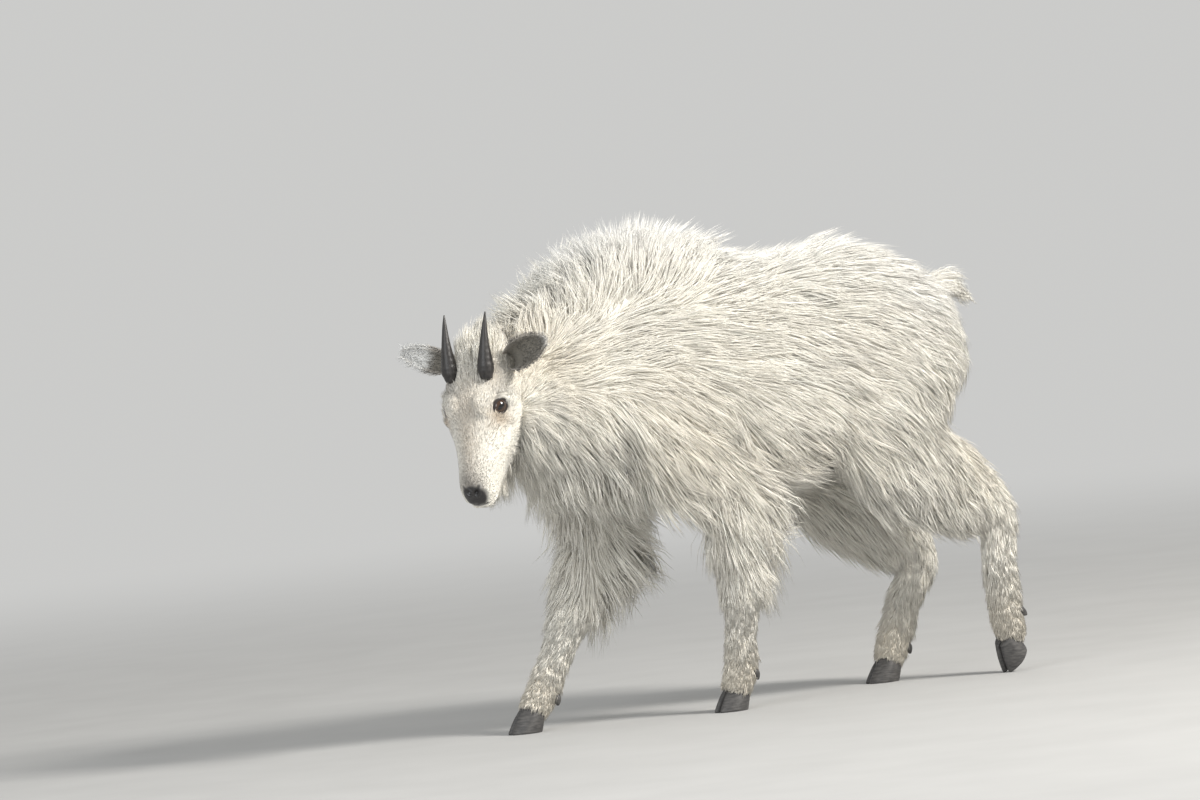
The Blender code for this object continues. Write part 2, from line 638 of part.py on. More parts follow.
def head_form(group):
    """The head with its brows, lips and jaw in one smooth skin, in the head's own frame."""
    across, up = superellipse(HEAD_POINTS, HEAD_SQUARENESS)
    rings = []
    for along, top, bottom, half, widest in HEAD:
        high = np.where(up > 0, top - widest, widest - bottom)
        rings.append(np.stack([np.full(HEAD_POINTS, along), across * half, widest + up * high], -1))
    skull = loft("skull", rings, group)
    surface = surface_of(skull)
    pieces = [skull]
    for sign in (1, -1):
        look = mirrored(EYE_LOOK, sign).normalized()
        centre = mirrored(EYE_PLACE, sign) - look * ORBIT_SUNK
        pieces.append(ball("orbit", centre, ORBIT_SIZE, group, axis=look))
    for shift in LIP_SHIFTS:
        line = muzzle_line(surface, shift, LIP_RADIUS * LIP_SUNK)
        radii = [LIP_RADIUS * (1.0 - LIP_THINNING * abs(t)) for t in np.linspace(-1, 1, LIP_POINTS)]
        pieces.append(tapered("lip", line, radii, group))
    return remeshed(joined("head", pieces, group), HEAD_VOXEL, HEAD_SMOOTH_STEPS, HEAD_TRIANGLES)


def lid_cutter(sign, group):
    """An almond funnel from inside the eye's ball outwards, wider as it goes."""
    look = mirrored(EYE_LOOK, sign).normalized()
    along = (Vector((1, 0, 0)) - look * look.x).normalized()
    high = look.cross(along)
    centre = mirrored(EYE_PLACE, sign)
    rings = []
    for out, wide in LID_RINGS:
        ring = []
        for turn in np.arange(LID_POINTS) * 2 * math.pi / LID_POINTS:
            across = math.cos(turn) * LID_OPENING[0]
            rise = math.sin(turn) * LID_OPENING[1] * (1 - LID_CORNER * abs(math.cos(turn)) ** 3)
            ring.append(centre + look * out + (along * across + high * rise) * wide)
        rings.append(ring)
    return loft("lids", rings, group)


def horn(name, sign, frame, group, grow=0.0):
    """A horn that bends a little back, thickest just above its root."""
    base = mirrored(HORN_BASE, sign)
    tip = mirrored(HORN_TIP, sign)
    axis = (tip - base).normalized()
    steps = np.linspace(0, 1, len(HORN_RADII))
    points = []
    for step in steps:
        bend = Vector((0, 0, 1)) * HORN_BEND * 4 * step * (1 - step)
        points.append(base - axis * HORN_SUNK * (1 - step) + axis * (tip - base).length * step + bend)
    made = tapered(name, points, HORN_RADII, group, HORN_SIDES, grow)
    return moved(made, frame)


def ear(name, sign, frame, group, grow=0.0):
    """A leaf rolled into a cup that is closed at its root and open to its tip, with a wall."""
    base = mirrored(EAR_BASE, sign)
    tip = mirrored(EAR_TIP, sign)
    axis = (tip - base).normalized()
    base = base - axis * EAR_SUNK
    length = (tip - base).length
    facing = mirrored(EAR_FACING, sign)
    facing = (facing - axis * facing.dot(axis)).normalized()
    side = axis.cross(facing)
    rows = len(EAR_WIDTHS)
    points = []
    for i, (width, cup) in enumerate(zip(EAR_WIDTHS, EAR_CUP)):
        centre = base + axis * length * (i / (rows - 1)) ** EAR_BUNCHING
        for j in range(EAR_ACROSS):
            angle = cup * (2 * j / (EAR_ACROSS - 1) - 1)
            radius = width / max(math.sin(min(cup, math.pi / 2)), 0.5)
            points.append(centre + side * radius * math.sin(angle) + facing * radius * (1 - math.cos(angle)))
    faces = []
    for i in range(rows - 1):
        for j in range(EAR_ACROSS - 1):
            a = i * EAR_ACROSS + j
            faces.append((a, a + 1, a + EAR_ACROSS + 1, a + EAR_ACROSS))
    made = mesh_object(name, points, faces, group)
    wall = made.modifiers.new("wall", "SOLIDIFY")
    wall.thickness = EAR_THICKNESS
    wall.offset = 0.0
    wall.use_even_offset = False
    applied(made)
    outward(made)
    if grow:
        swell(made, grow * EDGE_GROWTH)
    return moved(made, frame)


def outward(target):
    """Turns the faces of a closed mesh outwards and splits them into triangles."""
    shape = bmesh.new()
    shape.from_mesh(target.data)
    bmesh.ops.recalc_face_normals(shape, faces=shape.faces)
    bmesh.ops.triangulate(shape, faces=shape.faces)
    shape.to_mesh(target.data)
    shape.free()


def hoof(name, limb, inner, foot, sign, group, grow=0.0):
    """One toe's hoof below the foot: rings from its sole up, flat on the inner side, pointed ahead."""
    out = -1 if inner else 1
    rings = []
    for height, back, size in HOOF_RINGS:
        ring = []
        for turn in np.arange(HOOF_POINTS) * 2 * math.pi / HOOF_POINTS:
            ahead = math.cos(turn) * HOOF_LENGTH / 2
            narrow = 1 - HOOF_TAPER * max(0.0, math.cos(turn)) ** 2
            wide = max(math.sin(turn) * HOOF_ROUND[0] + HOOF_ROUND[1], 0.0) * HOOF_WIDTH * narrow
            wide = wide * size + (1 - size) * HOOF_WIDTH * HOOF_FLARE
            ring.append(Vector((ahead * size - back, wide, height)))
        rings.append(ring)
    made = loft(name, rings, group)
    if grow:
        swell(made, grow * EDGE_GROWTH)
    splay = Matrix.Rotation(TOE_SPLAY, 4, "Z")
    apart = Matrix.Translation((0, TOE_SPREAD / 2, 0))
    toe_out = Matrix.Diagonal((1, -out * sign, 1, 1))
    tip = Matrix.Translation((HOOF_LENGTH * 0.5, 0, 0))
    pitch = tip @ Matrix.Rotation(math.radians(HOOF_TIP[limb]), 4, "Y") @ tip.inverted()
    face = Matrix.Rotation(math.pi, 4, "Z") @ Matrix.Rotation(math.radians(HOOF_TURN[limb]) * -sign, 4, "Z")
    place = Matrix.Translation(foot) @ face @ pitch @ toe_out @ apart @ splay
    moved(made, place)
    outward(made)
    if HOOF_TIP[limb] and not grow:
        combine(made, box_from(FLOOR_CUT), "DIFFERENCE")
    return made


def dewclaw(name, inner, joints, sign, group, grow=0.0):
    """A short blunt claw behind the fetlock that points down and back."""
    out = -1 if inner else 1
    fetlock = Vector(joints["fetlock"]) * Vector((1, sign, 1))
    below = Vector(joints["foot"]) * Vector((1, sign, 1))
    down = (below - fetlock).normalized()
    back = (Vector((1, 0, 0)) - down * down.x).normalized()
    side = Vector((0, 1, 0)) * out * sign
    start = fetlock + back * DEWCLAW_BACK + side * DEWCLAW_SPREAD
    way = sum((d * w for d, w in zip((down, back, side), DEWCLAW_WAY)), Vector()).normalized()
    points = [start + way * DEWCLAW_LENGTH * t for t in np.linspace(0, 1, len(DEWCLAW_RADII))]
    return tapered(name, points, DEWCLAW_RADII, group, DEWCLAW_SIDES, grow)


def hoof_place(joints, sign, limb):
    """The point of the floor below the middle of the foot's hooves."""
    foot = Vector(joints["foot"]) * Vector((1, sign, 1))
    shift = HOOF_AHEAD[limb]
    return Vector((foot.x - shift, foot.y, -TOE_SINK if HOOF_TIP[limb] else 0.0))


def swell(target, amount):
    """Moves every point of the mesh out along its normal."""
    mesh = target.data
    normals = [v.normal.copy() for v in mesh.vertices]
    for vertex, normal in zip(mesh.vertices, normals):
        vertex.co += normal * amount


def box_from(cut, grow=0.0, side=0.0):
    """A box in front of a plane, of the cut's sizes, mirrored to the side that side gives."""
    point, forward, (length, inner, outer, below, above) = cut
    ahead = Vector(forward).normalized()
    across = Vector((0, 0, 1)).cross(ahead)
    across = across.normalized() if across.length > 0.2 else Vector((0, 1, 0))
    up = ahead.cross(across)
    low = Vector((-grow, inner - grow, -below - grow))
    high = Vector((length + grow, outer + grow, above + grow))
    shape = bmesh.new()
    bmesh.ops.create_cube(shape, size=1.0)
    bmesh.ops.transform(shape, matrix=Matrix.Diagonal((*(high - low), 1.0)), verts=shape.verts)
    bmesh.ops.translate(shape, vec=(low + high) / 2, verts=shape.verts)
    turn = Matrix((ahead, across, up)).transposed().to_4x4()
    bmesh.ops.transform(shape, matrix=Matrix.Translation(Vector(point)) @ turn, verts=shape.verts)
    if side:
        middle = GAP / 2 - grow
        for vertex in shape.verts:
            reach = outer + grow if abs(vertex.co.y) > (inner + outer) / 2 else middle
            vertex.co.y = side * reach
    shape.normal_update()
    bmesh.ops.recalc_face_normals(shape, faces=shape.faces)
    mesh = bpy.data.meshes.new("box")
    shape.to_mesh(mesh)
    shape.free()
    made = bpy.data.objects.new("box", mesh)
    cutters().objects.link(made)
    return made


def parted(name, rest, cut, group, side=0.0):
    """Takes the piece inside the cut's box off rest, with the gap between them, and returns it."""
    piece = copy_of(rest, name, group)
    combine(piece, box_from(cut, 0.0, side), "INTERSECT")
    combine(rest, box_from(cut, GAP, side), "DIFFERENCE")
    return piece


def within(point, cut, side=0.0, margin=0.0):
    """Whether the point lies inside the cut's box by the margin, on the side that side gives."""
    base, forward, (length, inner, outer, below, above) = cut
    ahead = Vector(forward).normalized()
    across = Vector((0, 0, 1)).cross(ahead)
    across = across.normalized() if across.length > 0.2 else Vector((0, 1, 0))
    away = point - Vector(base)
    along, up = away.dot(ahead), away.dot(ahead.cross(across))
    if side:
        wide = margin < point.y * side < outer - margin
    else:
        wide = inner + margin < away.dot(across) < outer - margin
    return margin < along < length - margin and margin - below < up < above - margin and wide


def lie_at(point, table):
    """The lie, length, rises, width and spacing of the coat at a point, blended from the nearest rows."""
    side = -1.0 if point.y < 0 else 1.0
    near = np.array([point.x, abs(point.y), point.z])
    places = np.array([row[0] for row in table])
    weights = 1 / (np.sum((places - near) ** 2, 1) + LIE_BLUR ** 2) ** LIE_SHARPNESS
    weights /= weights.sum()
    lie = weights @ np.array([row[1] for row in table])
    numbers = weights @ np.array([(row[2], *row[3], row[4], row[5]) for row in table])
    return Vector((lie[0], lie[1] * side, lie[2])), numbers


def lock_path(root, normal, lie, length, rises, surface):
    """Points and normals of a lock that leaves the surface at one angle and bends to another."""
    place = root.copy()
    points = [root - normal * LOCK_SUNK - lie * LOCK_LEAN * LOCK_SUNK]
    normals = [normal.copy()]
    before = 0.0
    for step in LOCK_STEPS:
        angle = math.radians(rises[0] + (rises[1] - rises[0]) * step)
        along = (lie - normal * lie.dot(normal)).normalized()
        way = along * math.cos(angle) + normal * math.sin(angle)
        place = place + way * length * (step - before)
        before = step
        hit, out, _, _ = surface.find_nearest(place)
        high = (place - hit).dot(out)
        least = LOCK_CLEAR * (1 + step)
        if high < least:
            place = place + out * (least - high)
        normal = out
        points.append(place.copy())
        normals.append((out * math.cos(angle) - along * math.sin(angle)).normalized())
    return points, normals


def lock(points, normals, width, surface, group):
    """A flat blade of three sides through the points, widest near its root and pointed at its tip."""
    rings = []
    for i, (point, normal) in enumerate(zip(points[:-1], normals)):
        way = points[i + 1] - points[max(i - 1, 0)]
        side = way.cross(normal).normalized()
        out = side.cross(way).normalized()
        half = side * width * LOCK_WIDTHS[i] / 2
        edges = [point - half, point + half]
        if i:
            edges = [hugged(edge, point, LOCK_HUG[i], surface) for edge in edges]
        rings.append([*edges, point + out * width * LOCK_WIDTHS[i] * LOCK_DEPTH])
    return pointed("lock", rings, points[-1], group)


def hugged(edge, point, share, surface):
    """A lock's edge brought to a share of its middle's height over the surface, where the lock lies flat."""
    near, out, _, _ = surface.find_nearest(point)
    high = (point - near).dot(out)
    below, normal, _, _ = surface.find_nearest(edge)
    here = (edge - below).dot(normal)
    if high > HUG_REACH or here <= 0:
        return edge
    return edge + normal * (max(high * share, LOCK_CLEAR) - here)


def lock_roots(core, table, wanted):
    """Points on the core, spread evenly by throwing darts that keep the coat's spacing apart."""
    mesh = core.data
    mesh.calc_loop_triangles()
    corners = np.array([[mesh.vertices[i].co for i in t.vertices] for t in mesh.loop_triangles])
    areas = np.array([t.area for t in mesh.loop_triangles])
    chosen = rng.choice(len(areas), LOCK_DARTS, p=areas / areas.sum())
    u, v = rng.random((2, LOCK_DARTS))
    over = u + v > 1
    u, v = np.where(over, 1 - u, u), np.where(over, 1 - v, v)
    three = corners[chosen]
    darts = three[:, 0] + u[:, None] * (three[:, 1] - three[:, 0]) + v[:, None] * (three[:, 2] - three[:, 0])
    kept = np.empty((0, 3))
    roots = []
    for dart in darts:
        point = Vector(dart)
        if not wanted(point):
            continue
        lie, numbers = lie_at(point, table)
        if len(kept) and np.min(np.sum((kept - dart) ** 2, 1)) < numbers[4] ** 2:
            continue
        kept = np.vstack([kept, dart])
        roots.append((point, lie, numbers))
    return roots


def add_locks(node, core, table, wanted, clear):
    """Fuses onto the node a coat of locks rooted on the core where wanted, each kept where clear allows."""
    surface = surface_of(core)
    locks = collection("locks")
    for root, lie, numbers in lock_roots(core, table, wanted):
        length, rise_root, rise_tip, width, _ = numbers
        _, normal, _, _ = surface.find_nearest(root)
        vary = rng.uniform(-1, 1, 4)
        lie = lie.normalized() + lie.cross(normal) * vary[0] * LOCK_TURN
        length *= 1 + vary[1] * LOCK_VARIETY
        width *= 1 + vary[2] * LOCK_VARIETY
        rises = (rise_root, rise_tip * (1 + vary[3] * LOCK_VARIETY * 2))
        for shorter in LOCK_SHORTER:
            points, normals = lock_path(root, normal, lie, length * shorter, rises, surface)
            halves = [width * w / 2 for w in LOCK_WIDTHS]
            if all(clear(p, h) for p, h in zip(points[1:], halves[1:])):
                lock(points, normals, width * math.sqrt(shorter), surface, locks)
                break
    combine(node, locks, "UNION", "MANIFOLD")
    bpy.data.collections.remove(locks)


def build_head(goat, body):
    """The head with its beard, horns, ears and eyes, cut from the front of the body."""
    frame = head_frame()
    here = Matrix.Identity(4)
    head = parted("head", body, HEAD_CUT, goat)
    combine(head, moved(head_form(goat), frame), "UNION")
    combine(head, box_from(HEAD_CUT), "INTERSECT")
    moved(head, frame.inverted())
    core = copy_of(head, "core", cutters())
    groove = muzzle_line(surface_of(core), 0.0, 0.0)
    radii = [MOUTH_RADIUS * (1.0 - MOUTH_THINNING * abs(t)) for t in np.linspace(-1, 1, LIP_POINTS)]
    combine(head, tapered("mouth", groove, radii, cutters(), MOUTH_SIDES), "DIFFERENCE")
    for sign in (1, -1):
        slit = [mirrored(p, sign) for p in NOSTRIL]
        combine(head, tapered("nostril", slit, NOSTRIL_RADII, cutters(), NOSTRIL_SIDES), "DIFFERENCE")
        combine(head, lid_cutter(sign, cutters()), "DIFFERENCE")
        look = mirrored(EYE_LOOK, sign).normalized()
        centre = mirrored(EYE_PLACE, sign)
        combine(head, ball("socket", centre, [EYE_RADIUS + GAP] * 3, cutters(), axis=look), "DIFFERENCE")
        moved(ball("eye_" + side_name(sign), centre, [EYE_RADIUS] * 3, goat, axis=look), frame)
        combine(head, horn("socket", sign, here, cutters(), GAP), "DIFFERENCE")
        horn("horn_" + side_name(sign), sign, frame, goat)
        combine(head, ear("socket", sign, here, cutters(), GAP), "DIFFERENCE")
        ear("ear_" + side_name(sign), sign, frame, goat)
    add_locks(head, core, HEAD_LIE, bearded, clear_of_head)
    bpy.data.objects.remove(core)
    moved(head, frame)
    combine(head, box_from(HEAD_CUT), "INTERSECT", "MANIFOLD")
    return head


def side_name(sign):
    """The word for a side of the head, where +1 is the left."""
    return "left" if sign > 0 else "right"


def bearded(point):
    """Whether long hair grows at a point of the head: the jaw, the cheeks behind it and the poll."""
    f, _, w = point
    jaw = w < BEARD_TOP + (f - BEARD_FROM) * BEARD_SLOPE and BEARD_TO < f < BEARD_FROM
    return jaw or f < POLL[0] and w > POLL[1]


def clear_of_head(point, half):
    """Whether a lock's point keeps clear of the ears, horns, eyes and mouth, and before the neck's cut."""
    place = head_frame() @ point
    side = 1 if point.y > 0 else -1
    for start, end, radius in (
        (mirrored(EAR_BASE, side), mirrored(EAR_TIP, side), EAR_CLEAR),
        (mirrored(HORN_BASE, side), mirrored(HORN_TIP, side), HORN_CLEAR),
        (mirrored(EYE_PLACE, side), mirrored(EYE_PLACE, side) + Vector((0, 0, 0.001)), EYE_CLEAR),
    ):
        way = end - start
        along = min(1.0, max(0.0, (point - start).dot(way) / way.length_squared))
        if (point - start - way * along).length < radius + half:
            return False
    return within(place, HEAD_CUT, 0.0, half * LOCK_MARGIN + GAP)


def coat_wanted(region, outside, side=0.0, bare=0.0):
    """A test of whether long hair grows at a point: in the region, outside the others, beyond the bare inner side."""
    def wanted(point):
        if region and not within(point, region, side) or abs(point.y) < bare:
            return False
        return not any(within(point, cut, one) for cut, one in outside)
    return wanted


def coat_clear(region, outside, side=0.0):
    """A test of whether a lock's point stays in its region, outside the others and above the floor."""
    def clear(point, half):
        edge = half * LOCK_MARGIN + GAP
        if region and not within(point, region, side, edge):
            return False
        return point.z > FLOOR_CLEAR and not any(within(point, cut, one, -edge) for cut, one in outside)
    return clear


def build_foot(shank, side, sign, limb, joints, goat):
    """The two hooves and two dewclaws of a foot, each in its socket in the shank."""
    foot = hoof_place(joints, sign, limb)
    for place, inner in (("inner", True), ("outer", False)):
        ending = f"{limb}_{place}"
        combine(shank, hoof("socket", limb, inner, foot, sign, cutters(), GAP), "DIFFERENCE")
        hoof("hoof_" + ending, limb, inner, foot, sign, goat)
        combine(shank, dewclaw("socket", inner, joints, sign, cutters(), GAP), "DIFFERENCE")
        dewclaw("dewclaw_" + ending, inner, joints, sign, goat)


def build_legs(goat, torso, core):
    """Each leg as its upper part, its shank and its foot, cut from the torso."""
    limbs = (
        ("fore", FORELEG, FORELEG_CUT, KNEE_CUT),
        ("hind", HINDLEG, HINDLEG_CUT, HOCK_CUT),
    )
    for limb, joints, top_cut, low_cut in limbs:
        for side, sign in SIDES.items():
            upper = parted(f"{limb}leg_{side}_upper", torso, top_cut[side], goat, sign)
            shank_cut = (*low_cut[side], SHANK_SIZE)
            shank = parted(f"{limb}leg_{side}_lower", upper, shank_cut, goat, sign)
            outside = [(shank_cut, sign), (HEAD_CUT, 0.0)]
            wanted = coat_wanted(top_cut[side], outside, sign, INNER_BARE)
            add_locks(upper, core, COAT_LIE, wanted, coat_clear(top_cut[side], outside, sign))
            combine(upper, box_from(top_cut[side], 0.0, sign), "INTERSECT", "MANIFOLD")
            combine(upper, box_from(shank_cut, TRIM, sign), "DIFFERENCE", "MANIFOLD")
            build_foot(shank, side, sign, f"{limb}_{side}", joints[side], goat)


def finish(goat):
    """Gives each node its material and stands the goat on the origin."""
    looks = {
        "eye": plain_material("eye", (0.05, 0.03, 0.02), 0.08),
        "horn": plain_material("horn", (0.03, 0.03, 0.03), 0.35),
        "hoof": plain_material("hoof", (0.06, 0.06, 0.06), 0.5),
        "dewclaw": plain_material("dewclaw", (0.06, 0.06, 0.06), 0.5),
        "ear": plain_material("ear", (0.42, 0.38, 0.33), 0.85),
        "coat": plain_material("coat", (0.83, 0.79, 0.70), 0.85),
    }
    stand = bpy.data.objects.new("goat_frame", None)
    goat.objects.link(stand)
    low = Vector((math.inf,) * 3)
    high = Vector((-math.inf,) * 3)
    for node in goat.objects:
        if node.type != "MESH":
            continue
        node.data.materials.clear()
        node.data.materials.append(looks.get(node.name.split("_")[0], looks["coat"]))
        for vertex in node.data.vertices:
            low = Vector(map(min, low, vertex.co))
            high = Vector(map(max, high, vertex.co))
        node.parent = stand
    stand.location = (-(low.x + high.x) / 2, -(low.y + high.y) / 2, -low.z)


def main():
    """Builds the goat in its own collection."""
    for old in list(bpy.data.objects):
        bpy.data.objects.remove(old)
    goat = collection("mountain_goat")
    torso = body_core(goat)
    torso.name = "torso"
    core = copy_of(torso, "core", cutters())
    build_head(goat, torso)
    tail = parted("tail", torso, TAIL_CUT, goat)
    build_legs(goat, torso, core)
    add_locks(tail, core, TAIL_LIE, coat_wanted(TAIL_CUT, []), coat_clear(TAIL_CUT, []))
    combine(tail, box_from(TAIL_CUT), "INTERSECT", "MANIFOLD")
    legs = [(cut[side], sign) for cut in (FORELEG_CUT, HINDLEG_CUT) for side, sign in SIDES.items()]
    others = legs + [(TAIL_CUT, 0.0), (HEAD_CUT, 0.0)]
    add_locks(torso, core, COAT_LIE, coat_wanted(None, others), coat_clear(None, others))
    for cut, side in others:
        combine(torso, box_from(cut, TRIM, side), "DIFFERENCE", "MANIFOLD")
    bpy.data.objects.remove(core)
    bpy.data.collections.remove(cutters())
    finish(goat)


main()
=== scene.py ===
"""How the mountain goat kid looks: its skin, coat, eyes, ears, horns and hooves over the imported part.

Metres, +Z up. The goat faces -X and its left side is at -Y. Shapes are worked out in the place where the
part's source builds them and are then moved by SHIFT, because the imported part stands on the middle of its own
box.
"""

import math

import bpy
import numpy as np
from mathutils import Matrix, Vector
from mathutils.bvhtree import BVHTree
from mathutils.kdtree import KDTree


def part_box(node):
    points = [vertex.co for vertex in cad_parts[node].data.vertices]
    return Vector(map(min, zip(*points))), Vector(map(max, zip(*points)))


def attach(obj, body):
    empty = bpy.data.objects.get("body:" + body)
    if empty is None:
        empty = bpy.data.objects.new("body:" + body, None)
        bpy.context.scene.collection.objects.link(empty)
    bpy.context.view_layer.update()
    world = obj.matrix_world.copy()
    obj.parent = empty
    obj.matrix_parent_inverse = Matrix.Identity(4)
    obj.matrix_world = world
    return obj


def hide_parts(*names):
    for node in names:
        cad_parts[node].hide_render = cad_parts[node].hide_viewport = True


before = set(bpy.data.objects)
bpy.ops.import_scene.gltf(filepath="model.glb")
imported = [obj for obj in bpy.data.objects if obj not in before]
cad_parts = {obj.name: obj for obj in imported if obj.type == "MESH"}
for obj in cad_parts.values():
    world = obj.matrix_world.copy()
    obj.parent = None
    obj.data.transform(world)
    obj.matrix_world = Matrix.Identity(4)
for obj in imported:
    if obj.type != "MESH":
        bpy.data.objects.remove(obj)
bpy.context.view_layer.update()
rng = np.random.default_rng(11)

# Steps from one row of a table to the next, the share of each smoothing step, and a way that no tube runs
ROWS_BETWEEN = 4
SMOOTH_FACTOR = 0.5
ASKEW = np.array((0.3, 0.1, 1.0))

# Joint centres of the legs, as (along, out from the middle, height)
SIDES = {"left": -1.0, "right": 1.0}
FORELEG = {
    "left": {
        "withers": (-0.105, 0.060, 0.545),
        "shoulder": (-0.165, 0.070, 0.410),
        "elbow": (-0.062, 0.080, 0.292),
        "knee": (-0.063, 0.075, 0.152),
        "fetlock": (-0.071, 0.070, 0.058),
        "foot": (-0.083, 0.068, 0.026),
    },
    "right": {
        "withers": (-0.120, 0.060, 0.545),
        "shoulder": (-0.200, 0.068, 0.405),
        "elbow": (-0.190, 0.074, 0.262),
        "knee": (-0.268, 0.062, 0.130),
        "fetlock": (-0.312, 0.056, 0.056),
        "foot": (-0.336, 0.052, 0.027),
    },
}
HINDLEG = {
    "left": {
        "hip": (0.236, 0.066, 0.475),
        "stifle": (0.185, 0.084, 0.345),
        "hock": (0.340, 0.083, 0.222),
        "fetlock": (0.350, 0.075, 0.083),
        "foot": (0.358, 0.071, 0.046),
    },
    "right": {
        "hip": (0.246, 0.066, 0.475),
        "stifle": (0.165, 0.083, 0.325),
        "hock": (0.300, 0.076, 0.168),
        "fetlock": (0.246, 0.066, 0.056),
        "foot": (0.230, 0.062, 0.026),
    },
}

# Half thickness of each leg's skin, as (fore and aft, across), with the belly of its muscle and its cannon
FORELEG_GIRTH = {
    "withers": (0.052, 0.023),
    "shoulder": (0.065, 0.041),
    "elbow": (0.046, 0.034),
    "knee": (0.0235, 0.0215),
    "fetlock": (0.0205, 0.0200),
    "foot": (0.0180, 0.0200),
}
HINDLEG_GIRTH = {
    "hip": (0.085, 0.041),
    "stifle": (0.079, 0.040),
    "hock": (0.0285, 0.0205),
    "fetlock": (0.0210, 0.0205),
    "foot": (0.0180, 0.0200),
}
MUSCLE = {"fore": ("elbow", 0.40), "hind": ("stifle", 0.62)}
MUSCLE_SIZE = 1.02
CANNON_WAIST = 0.84
LEG_AROUND = 32

# The trunk and neck under the coat, as (along, back, belly, half width, sideways)
TRUNK = (
    (-0.376, 0.505, 0.428, 0.036, -0.018),
    (-0.355, 0.536, 0.396, 0.058, -0.013),
    (-0.310, 0.570, 0.362, 0.080, -0.006),
    (-0.260, 0.604, 0.338, 0.092, -0.001),
    (-0.200, 0.632, 0.318, 0.102, 0.0),
    (-0.130, 0.646, 0.306, 0.109, 0.0),
    (-0.060, 0.634, 0.302, 0.113, 0.0),
    (0.010, 0.609, 0.300, 0.118, 0.0),
    (0.080, 0.603, 0.302, 0.121, 0.0),
    (0.150, 0.611, 0.316, 0.118, 0.0),
    (0.215, 0.601, 0.338, 0.108, 0.0),
    (0.275, 0.573, 0.364, 0.094, 0.0),
    (0.315, 0.540, 0.392, 0.074, 0.0),
    (0.332, 0.505, 0.425, 0.045, 0.0),
)
TRUNK_DEPTH = 0.002
TRUNK_SQUARENESS = 2.3
TRUNK_AROUND = 56
BACK_NARROWER = 0.16
TAIL = ((0.300, 0.518), (0.336, 0.543), (0.358, 0.544), (0.371, 0.539))
TAIL_RADII = (0.024, 0.016, 0.011, 0.005)
BODY_VOXEL = 0.0052
BODY_SMOOTH = 6

# The head's own frame starts midway between the eyes: along the muzzle, to its left, and out of the forehead
HEAD_CENTRE = Vector((-0.421, -0.045, 0.455))
HEAD_TURN = math.radians(34)
HEAD_DROP = math.radians(77)

# The head's skin as (along, forehead side, throat side, half width, widest level)
HEAD = (
    (-0.098, -0.022, -0.046, 0.014, -0.034),
    (-0.092, -0.008, -0.062, 0.028, -0.034),
    (-0.078, 0.006, -0.078, 0.039, -0.032),
    (-0.055, 0.018, -0.090, 0.046, -0.028),
    (-0.028, 0.025, -0.098, 0.0500, -0.022),
    (0.000, 0.026, -0.098, 0.0495, -0.018),
    (0.024, 0.0235, -0.091, 0.0455, -0.022),
    (0.046, 0.0205, -0.079, 0.0370, -0.026),
    (0.068, 0.0185, -0.066, 0.0305, -0.023),
    (0.088, 0.0175, -0.055, 0.0268, -0.017),
    (0.104, 0.0160, -0.047, 0.0252, -0.013),
    (0.118, 0.0105, -0.042, 0.0238, -0.013),
    (0.128, 0.0020, -0.036, 0.0190, -0.015),
    (0.134, -0.0080, -0.029, 0.0105, -0.018),
)
HEAD_DEPTH = 0.0022
HEAD_SQUARENESS = 2.25
HEAD_AROUND = 64
HEAD_VOXEL = 0.0014
HEAD_SMOOTH = 10
HEAD_ROWS_BETWEEN = 3
MUZZLE_FROM = 0.08
MUZZLE_END = 0.1

# The left eye's ball in the head's frame, the brow round it and the opening between its lids, as (long, high)
EYE_PLACE = Vector((0.001, 0.0354, 0.0))
EYE_LOOK = Vector((0.12, 0.80, 0.58))
EYE_RADIUS = 0.0125
ORBIT_SIZE = (0.0260, 0.0340, 0.0158)
ORBIT_SUNK = 0.0030
ORBIT_GRID = (28, 40)
EYE_GRID = (40, 56)
EYE_NEAR = 0.03
LID_OPENING = (0.0103, 0.0086)
LID_TILT = math.radians(38)
LID_CORNER = 0.25
LID_RISE = 0.0011
LID_SPREAD = (1.15, 2.3)
LID_CREASE = (1.75, 0.16, 0.0009)
LID_BAND = (0.0016, 0.0011)
LID_REACH = 0.93
LID_BEHIND = -0.004
LID_SUNK = (0.0030, 0.18)
LID_DARK = (1.15, 0.35)
LID_POINTS = (72, 10)
LID_BAND_RISE = 0.45
LID_UPPER = 1.25

# The left horn's axis in the head's frame and its radii from under the skin to the tip
HORN_BASE = Vector((-0.047, 0.028, 0.0187))
HORN_TIP = Vector((-0.1244, 0.032, 0.0307))
HORN_BEND = 0.004
HORN_RADII = (0.0076, 0.0116, 0.0100, 0.0079, 0.0060, 0.0043, 0.0028, 0.0008)
HORN_SUNK = 0.012
HORN_RIDGES = 11
HORN_RIDGE = 0.022
HORN_RIDGE_FADE = 1.6
HORN_ROWS = 16
HORN_AROUND = 36

# The left ear in the head's frame, with its half widths and its cup's half angles from root to tip
EAR_BASE = Vector((-0.066, 0.042, -0.031))
EAR_TIP = Vector((-0.0835, 0.1115, 0.004))
EAR_WIDTHS = (0.0085, 0.0130, 0.0178, 0.0195, 0.0184, 0.0140, 0.0055)
EAR_CUP = (2.6, 2.15, 1.65, 1.35, 1.15, 0.95, 0.8)
EAR_FACING = Vector((0.10, 0.25, 1.0))
EAR_BUNCHING = 0.92
EAR_THICKNESS = 0.0022
EAR_SUNK = 0.010
EAR_ROWS = 30
EAR_COLUMNS = 25
EAR_THINNER = (0.45, 0.4)
EAR_RIM = (0.66, 0.34)
EAR_SIZE = {"left": 1.0, "right": 0.80}
EAR_WHITE_FROM = {"left": 0.84, "right": 0.46}
EAR_WHITE_FADE = 0.16
EAR_WHITE_SHARE = {"left": 0.55, "right": 1.0}
EAR_HAIRS = 1700
EAR_FRINGE = 0.28
EAR_HAIR = (0.0060, 0.0105)
